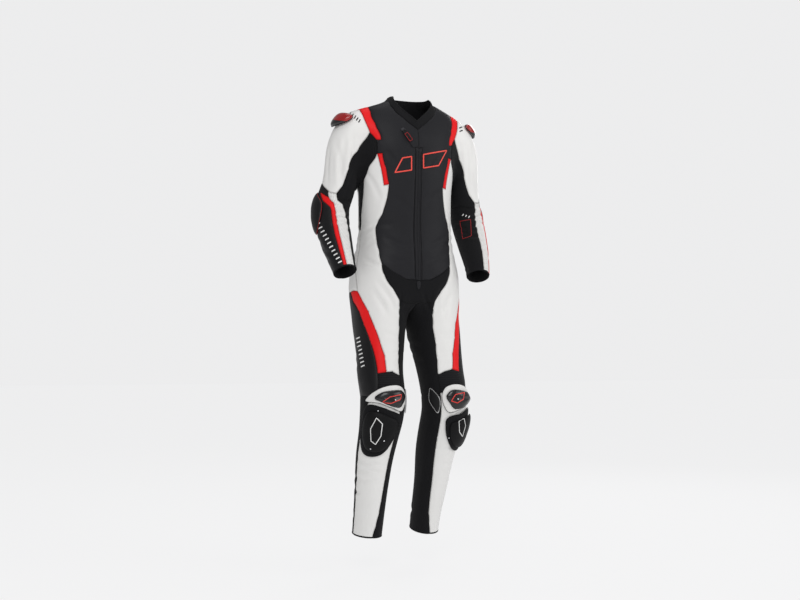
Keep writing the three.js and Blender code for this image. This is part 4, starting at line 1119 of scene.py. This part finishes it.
class Forms:
    """Many small closed forms gathered into one mesh."""

    def __init__(self):
        self.corners = []
        self.faces = []

    def lozenge(self, place, along, out, long, wide, high, sink=0.0002):
        """A small rounded form, as a stitch or a zip tooth is: pointed ends, domed top."""
        across = np.cross(out, along)
        start = len(self.corners)
        self.corners.extend([
            place - along * long / 2 - out * sink,
            place + along * long / 2 - out * sink,
            place - across * wide / 2,
            place + across * wide / 2,
            place + along * long * 0.22 + out * high,
            place - along * long * 0.22 + out * high,
        ])
        turns = [
            (0, 2, 5), (2, 4, 5), (2, 1, 4), (1, 3, 4), (3, 5, 4), (3, 0, 5), (0, 3, 2), (2, 3, 1)
        ]
        self.faces.extend([tuple(start + i for i in turn) for turn in turns])

    def strip(self, line, outs, wide, high, lift=0.0, sides=8, closed=False):
        """A strip with a round back drawn along a line."""
        count = len(line)
        ahead = np.roll(line, -1, axis=0)
        behind = np.roll(line, 1, axis=0)
        if not closed:
            ahead[-1] = line[-1]
            behind[0] = line[0]
        across = unit(np.cross(outs, ahead - behind))
        start = len(self.corners)
        for index in range(count):
            for turn in range(sides):
                angle = 2 * math.pi * turn / sides
                aside = across[index] * wide / 2 * math.cos(angle)
                rise = lift + high / 2 * math.sin(angle)
                self.corners.append(line[index] + aside + outs[index] * rise)
        for index in range(count if closed else count - 1):
            here = start + index * sides
            there = start + ((index + 1) % count) * sides
            for turn in range(sides):
                after = (turn + 1) % sides
                self.faces.append((here + turn, here + after, there + after, there + turn))
        if not closed:
            self.faces.append(tuple(start + turn for turn in reversed(range(sides))))
            self.faces.append(tuple(start + (count - 1) * sides + turn for turn in range(sides)))

    def stud(self, place, out, radius, high, sides=12):
        """A low round stud with a domed top."""
        side = unit(np.cross(out, [[0.3, 0.5, 0.8]]))[0]
        other = np.cross(out, side)
        start = len(self.corners)
        rings = ((1.0, -0.0003), (1.0, high * 0.6), (0.7, high * 0.95), (0.3, high * 0.9))
        for share, rise in rings:
            for turn in range(sides):
                angle = 2 * math.pi * turn / sides
                way = side * math.cos(angle) + other * math.sin(angle)
                self.corners.append(place + way * radius * share + out * rise)
        for ring in range(len(rings) - 1):
            for turn in range(sides):
                after = (turn + 1) % sides
                low = start + ring * sides
                self.faces.append((low + turn, low + after, low + sides + after, low + sides + turn))
        self.faces.append(tuple(start + turn for turn in reversed(range(sides))))
        self.faces.append(tuple(start + (len(rings) - 1) * sides + turn for turn in range(sides)))

    def piece(self, name, look, body="suit", slot=None):
        made = new_piece(name, self.corners, self.faces, look, body)
        print(name, "faces", len(self.faces))
        return made


def strip_piece(
    name, line, look, wide, high, tree=None, lift=0.0003, closed=False, body="suit", step=0.003, slot=None
):
    """One strip laid on a surface along a rough line."""
    line = even_steps(line, step)
    if closed:
        line = line[:-1]
    line, outs, _ = landed(line, tree)
    forms = Forms()
    forms.strip(softened(line, 2) if not closed else line, outs, wide, high, lift, closed=closed)
    return forms.piece(name, look, body, slot)


SHORTEST_SEAM = 6
seam_chains = []
for pair in sorted({pair for _, pair in seams}):
    for chain in chains([key for key, owned in seams if owned == pair]):
        if len(chain) > SHORTEST_SEAM:
            seam_chains.append((pair, softened(places[chain])))
print("seam lines", len(seam_chains))

# %% [markdown]
# ## Stitching
# Race leathers are closed with a hidden seam and then top-stitched on either side, about 3.4 mm from
# the fold. The thread takes the leather's colour. Stretch cloth is only stitched on the leather side.

# %% Stitching
STITCH_PITCH = 0.0040
STITCH_LONG = 0.0030
STITCH_WIDE = 0.0009
STITCH_HIGH = 0.00055
STITCH_AWAY = 0.0034
THREADS = {
    "charcoal": "thread_dark", "black": "thread_dark", "white": "thread_light",
    "white_punched": "thread_light", "red": "thread_red",
}
thread_forms = {thread: Forms() for thread in sorted(set(THREADS.values()))}
for pair, line in seam_chains:
    points = even_steps(line, STITCH_PITCH)
    if len(points) < 4:
        continue
    on, outs, _ = landed(points)
    along = unit(np.gradient(on, axis=0))
    across = unit(np.cross(outs, along))
    for way in (-1, 1):
        stitches, ways_out, faces_hit = landed(on + across * way * STITCH_AWAY)
        for index in range(1, len(stitches) - 1):
            owner = owners[faces_hit[index]]
            look = LOOK_OF[plain_name(PANELS[owner])]
            if owner in pair and look in THREADS:
                out = ways_out[index]
                forward = along[index] - out * along[index].dot(out)
                forward = forward / np.linalg.norm(forward)
                thread_forms[THREADS[look]].lozenge(
                    stitches[index], forward, out, STITCH_LONG, STITCH_WIDE, STITCH_HIGH
                )
for thread, forms in thread_forms.items():
    forms.piece("stitches_" + thread.removeprefix("thread_"), thread)

# %% [markdown]
# ## Bindings and pipings
# Every open edge is bound with a narrow folded strip: the collar top, both cuffs and both leg hems. Pads
# and guards, all but the knee sliders, have a thin piping round them, which also hides the edge where
# they meet the cloth.

# %% Bindings and pipings
SHORTEST_RIM = 30
COLLAR_ABOVE = -0.2
CUFF_ABOVE = -0.9
BINDING_WIDE = 0.0062
BINDING_HIGH = 0.0030
BINDING_LIFT = -0.0006
PIPING_STEP = 0.004
PIPING_HIGH = 0.0016
PIPING_LIFT = 0.0002
TURNED_UP = 0.25

for chain in chains(rims):
    if chain[0] != chain[-1] or len(chain) < SHORTEST_RIM:
        continue
    line = places[chain]
    middle = line.mean(0)
    kind = "collar" if middle[2] > COLLAR_ABOVE else "cuff" if middle[2] > CUFF_ABOVE else "hem"
    side = "" if kind == "collar" else "_left" if middle[0] > 0 else "_right"
    look = "collar" if kind == "collar" else "stretch_up"
    strip_piece(
        f"{kind}_binding{side}", line, look, BINDING_WIDE, BINDING_HIGH, closed=True, lift=BINDING_LIFT
    )


def outline_of(made):
    """The line round a pad where its top turns under, seen from the cloth below it."""
    mesh = made.data
    facing = []
    for face in mesh.polygons:
        _, out, _, _ = skin.find_nearest(face.center)
        facing.append(face.normal.dot(out) > TURNED_UP)
    owner = {}
    edges = []
    for face, up in zip(mesh.polygons, facing):
        for key in face.edge_keys:
            if key in owner and owner[key] != up:
                edges.append(key)
            owner.setdefault(key, up)
    longest = max(chains(edges), key=len)
    return np.array([mesh.vertices[corner].co[:] for corner in longest])


PIPINGS = {
    "knee_padding": ("black", 0.0024), "inner_knee_patch": ("grey_trim", 0.0044),
    "elbow_guard": ("dark_red", 0.0022), "slider_base": ("black", 0.0024),
    "shoulder_cup": ("black", 0.0030), "knee_plate": ("rubber", 0.0022),
}
for side in SIDES:
    for plain, (look, wide) in PIPINGS.items():
        pad = pads[f"{plain}_{side}"]
        line = softened(even_steps(outline_of(pad), PIPING_STEP), 1)
        strip_piece(
            f"{plain}_piping_{side}", line, look, wide, PIPING_HIGH, tree_of(pad), PIPING_LIFT, closed=True
        )

# %% [markdown]
# ## Zip
# The zip lies between two folded welts. Its coil is a row of small teeth that lean to either side by
# turns. The slider is parked at the top, and its tab has a red edge.

# %% Zip teeth and welts
ZIP_TOP = 1379
ZIP_FOOT = 962
TOOTH_PITCH = 1.4
TOOTH_ASIDE = 0.0012
TOOTH_LEAN = 0.25
TOOTH_LONG = 0.0032
TOOTH_WIDE = 0.0012
TOOTH_HIGH = 0.0010
WELT_STEP = 6
WELT_ASIDE = 0.0080
WELT_WIDE = 0.0032
WELT_HIGH = 0.0022
WELT_LIFT = 0.0004
zip_teeth = Forms()
height = ZIP_FOOT
turn = 1
while height < ZIP_TOP:
    place, out, _, _ = skin.find_nearest(spot("trunk", "left", 0, height)[0])
    place = np.array(place) + np.array([turn * TOOTH_ASIDE, 0, 0])
    along = np.array([1.0, 0, TOOTH_LEAN * turn])
    along = along / np.linalg.norm(along)
    zip_teeth.lozenge(place, along, np.array(out), TOOTH_LONG, TOOTH_WIDE, TOOTH_HIGH)
    height += TOOTH_PITCH
    turn = -turn
zip_teeth.piece("zip_coil", "tape")
for side, sign in SIDES.items():
    welt = []
    for height in np.arange(ZIP_FOOT, ZIP_TOP, WELT_STEP):
        place, _ = spot("trunk", side, 0, height)
        welt.append([sign * WELT_ASIDE, place.y, place.z])
    strip_piece(f"zip_welt_{side}", welt, "charcoal", WELT_WIDE, WELT_HIGH, lift=WELT_LIFT)

# %% The pull tab's red edge
tab = NODES["zip_pull"].data
tab_points = np.array([v.co[:] for v in tab.vertices])
tab_middle = tab_points.mean(0)
_, _, ways = np.linalg.svd(tab_points - tab_middle, full_matrices=False)
down, across = ways[0], ways[1]
front_way = np.cross(down, across)
if front_way[1] > 0:
    front_way = -front_way
shares = (tab_points - tab_middle) @ np.stack([down, across, front_way]).T
low, high = shares.min(0), shares.max(0)
if abs(low[0]) < abs(high[0]):
    low[0], high[0] = high[0], low[0]
EDGE_IN = 0.0013
EDGE_WIDE = 0.0018
EDGE_HIGH = 0.0012
EDGE_LIFT = 0.0001
EDGE_FROM = 0.30
corner_list = []
for along_share, across_share in ((EDGE_FROM, 0), (EDGE_FROM, 1), (1, 1), (1, 0), (EDGE_FROM, 0)):
    a = high[0] + (low[0] - high[0]) * along_share
    a -= math.copysign(EDGE_IN, low[0] - high[0]) * (1 if along_share == 1 else -1)
    c = low[1] + EDGE_IN + (high[1] - low[1] - 2 * EDGE_IN) * across_share
    corner_list.append(tab_middle + down * a + across * c + front_way * high[2])
strip_piece(
    "pull_tab_edge", corner_list, "dark_red", EDGE_WIDE, EDGE_HIGH, tree_of(NODES["zip_pull"]), EDGE_LIFT,
    closed=True, body="pull", step=0.0015, slot="pull_tab"
)

# %% [markdown]
# ## Marks and fixings
# Flat marks are a thin raised print, and fixings are small screws. Each is placed through a pixel of the
# picture, so it lies where the camera sees it, and then follows the surface. The marks are plain
# shapes of this script's own: slanted bars, rows of dashes and outlines.

# %% Marks
MARK_HIGH = 0.0008
MARK_LIFT = 0.0003
MARK_STEP = 0.002
PIXEL_STEP = 0.5
MARKED_PADS = ("knee_slider", "knee_plate", "slider_base", "knee_padding")
trees = {name: tree_of(made) for name, made in pads.items() if name.startswith(MARKED_PADS)}


def outline_mark(name, pixels, look, wide, pad=None):
    """A closed outline through pixels of the picture, on the cloth or on a pad."""
    tree = trees.get(pad)
    line = []
    for (u, v), (next_u, next_v) in zip(pixels, pixels[1:] + pixels[:1]):
        for share in np.arange(0, 1, PIXEL_STEP / math.hypot(next_u - u, next_v - v)):
            line.append(seen(u + (next_u - u) * share, v + (next_v - v) * share, tree)[0])
    line = [place for place in line if place is not None]
    strip_piece(name, line + line[:1], look, wide, MARK_HIGH, tree, closed=True, step=MARK_STEP)


def dash_row(name, start, end, count, bar, look, wide):
    """A row of short bars between two pixels of the picture; bar is how far one runs, in pixels."""
    forms = Forms()
    for share in np.linspace(0, 1, count):
        u = start[0] + (end[0] - start[0]) * share
        v = start[1] + (end[1] - start[1]) * share
        ends = [seen(u - bar[0] / 2, v - bar[1] / 2)[0], seen(u + bar[0] / 2, v + bar[1] / 2)[0]]
        if ends[0] is not None and ends[1] is not None:
            line, outs, _ = landed(even_steps(ends, MARK_STEP))
            forms.strip(line, outs, wide, MARK_HIGH, MARK_LIFT)
    forms.piece(name, look)


# Outlines: name, pixels, look, width, pad
OUTLINE_MARKS = [
    ("chest_bar_right", [(395, 172.5), (402.5, 158), (411.5, 156.5), (411.5, 170)], "red_mark", 0.0042),
    ("chest_bar_left", [(423.5, 154.5), (446.5, 150.5), (438.5, 165.5), (423.5, 168)], "red_mark", 0.0042),
    ("forearm_patch_left", [(460, 221.5), (470.5, 219.5), (471.5, 235.5), (463, 239)], "dark_red", 0.0022),
    ("slider_mark_right", [(371, 441), (370.5, 429), (376.5, 418), (382.5, 424), (381, 436), (375.5, 444.5)],
     "white_mark", 0.0028, "knee_slider_right"),
    ("slider_mark_left", [(459, 421.5), (464, 417.5), (465.5, 426), (462.5, 436.5), (459.5, 432)],
     "white_mark", 0.0026, "knee_slider_left"),
    ("plate_relief_right", [(382, 402.5), (390, 397), (401.5, 394.5), (400.5, 399.5), (391, 403.5)],
     "red_shell", 0.0030, "knee_plate_right"),
    ("plate_relief_left", [(451.5, 401), (455.5, 394.5), (464.5, 392.5), (463.5, 399), (457.5, 403)],
     "red_shell", 0.0030, "knee_plate_left"),
]
for mark in OUTLINE_MARKS:
    outline_mark(*mark)

# Rows of dashes: name, first and last pixel, count, run of one bar, look, width
DASH_ROWS = [
    ("forearm_dashes_right", (318.5, 224), (340, 262), 11, (3.6, -2.0), "white_mark", 0.0046),
    ("thigh_dashes_right", (358.2, 338), (363, 366), 8, (3.6, -1.5), "white_mark", 0.0042),
    ("shoulder_dashes_right", (346, 110), (359.5, 121), 7, (1.8, -3.0), "black", 0.0040),
    ("shoulder_dashes_left", (459.6, 121), (461, 131), 4, (3.0, -1.2), "black", 0.0040),
    ("forearm_dashes_left", (463, 215), (469, 217), 3, (1.2, -1.8), "white_mark", 0.0030),
]
for row in DASH_ROWS:
    dash_row(*row)

# %% Fixings
FIXING_RADIUS = 0.0024
FIXING_HIGH = 0.0014
FIXINGS = {
    "right": [(395.5, 400), (378, 411), (370.5, 449), (384, 441)],
    "left": [(458, 399), (464, 408), (449, 438)],
}
for side, pixels in FIXINGS.items():
    fixings = Forms()
    for u, v in pixels:
        hits = [seen(u, v, trees[f"{plain}_{side}"]) for plain in MARKED_PADS]
        hits = [hit for hit in hits if hit[0] is not None]
        if hits:
            place, out = min(hits, key=lambda hit: (hit[0] - EYE).length)
            fixings.stud(np.array(place), np.array(out), FIXING_RADIUS, FIXING_HIGH)
    fixings.piece(f"knee_fixings_{side}", "pin")

# %% [markdown]
# ## Floor and backdrop
# A photographer's sheet is lit evenly, so it shows as one pale tone with hardly a shadow. Here the floor
# glows a little of itself, and the studio's own tone, as the camera sees it, is the same.

# %% Floor, sizes and finish
SHEET_TONE = (0.845, 0.845, 0.85, 1)
SHEET_GLOW = 0.97
SHEET_SIZE = 56
SHEET_PALE = (0.10, 0.10, 0.10, 1)
SHEET_DULL = (0.09, 0.09, 0.09, 1)
STUDIO_LIGHT = (0.34, 0.34, 0.345, 1)
bpy.ops.mesh.primitive_plane_add(size=SHEET_SIZE, location=(0, 0, FLOOR))
floor = bpy.context.object
floor.name = "floor"
floor_look, floor_tree, floor_shader, floor_place = begin("pale_floor", 0.9, gloss=0.0)
floor_tone = mix(floor_tree, noise(floor_tree, floor_place, 1.2) * 0.2, SHEET_PALE, SHEET_DULL)
paint(floor_tree, floor_shader, "Base Color", floor_tone)
floor_shader.inputs["Emission Color"].default_value = SHEET_TONE
floor_shader.inputs["Emission Strength"].default_value = SHEET_GLOW
floor.data.materials.append(floor_look)
studio = world.node_tree
seen_straight = node(studio, "ShaderNodeLightPath").out("Is Camera Ray")
plain_tone = mix(studio, seen_straight, STUDIO_LIGHT, SHEET_TONE)
studio.links.new(plain_tone.socket, studio.nodes["Background"].inputs[0])
studio.nodes["Background"].inputs[1].default_value = 1.0

print("floor", SHEET_SIZE, "m wide")
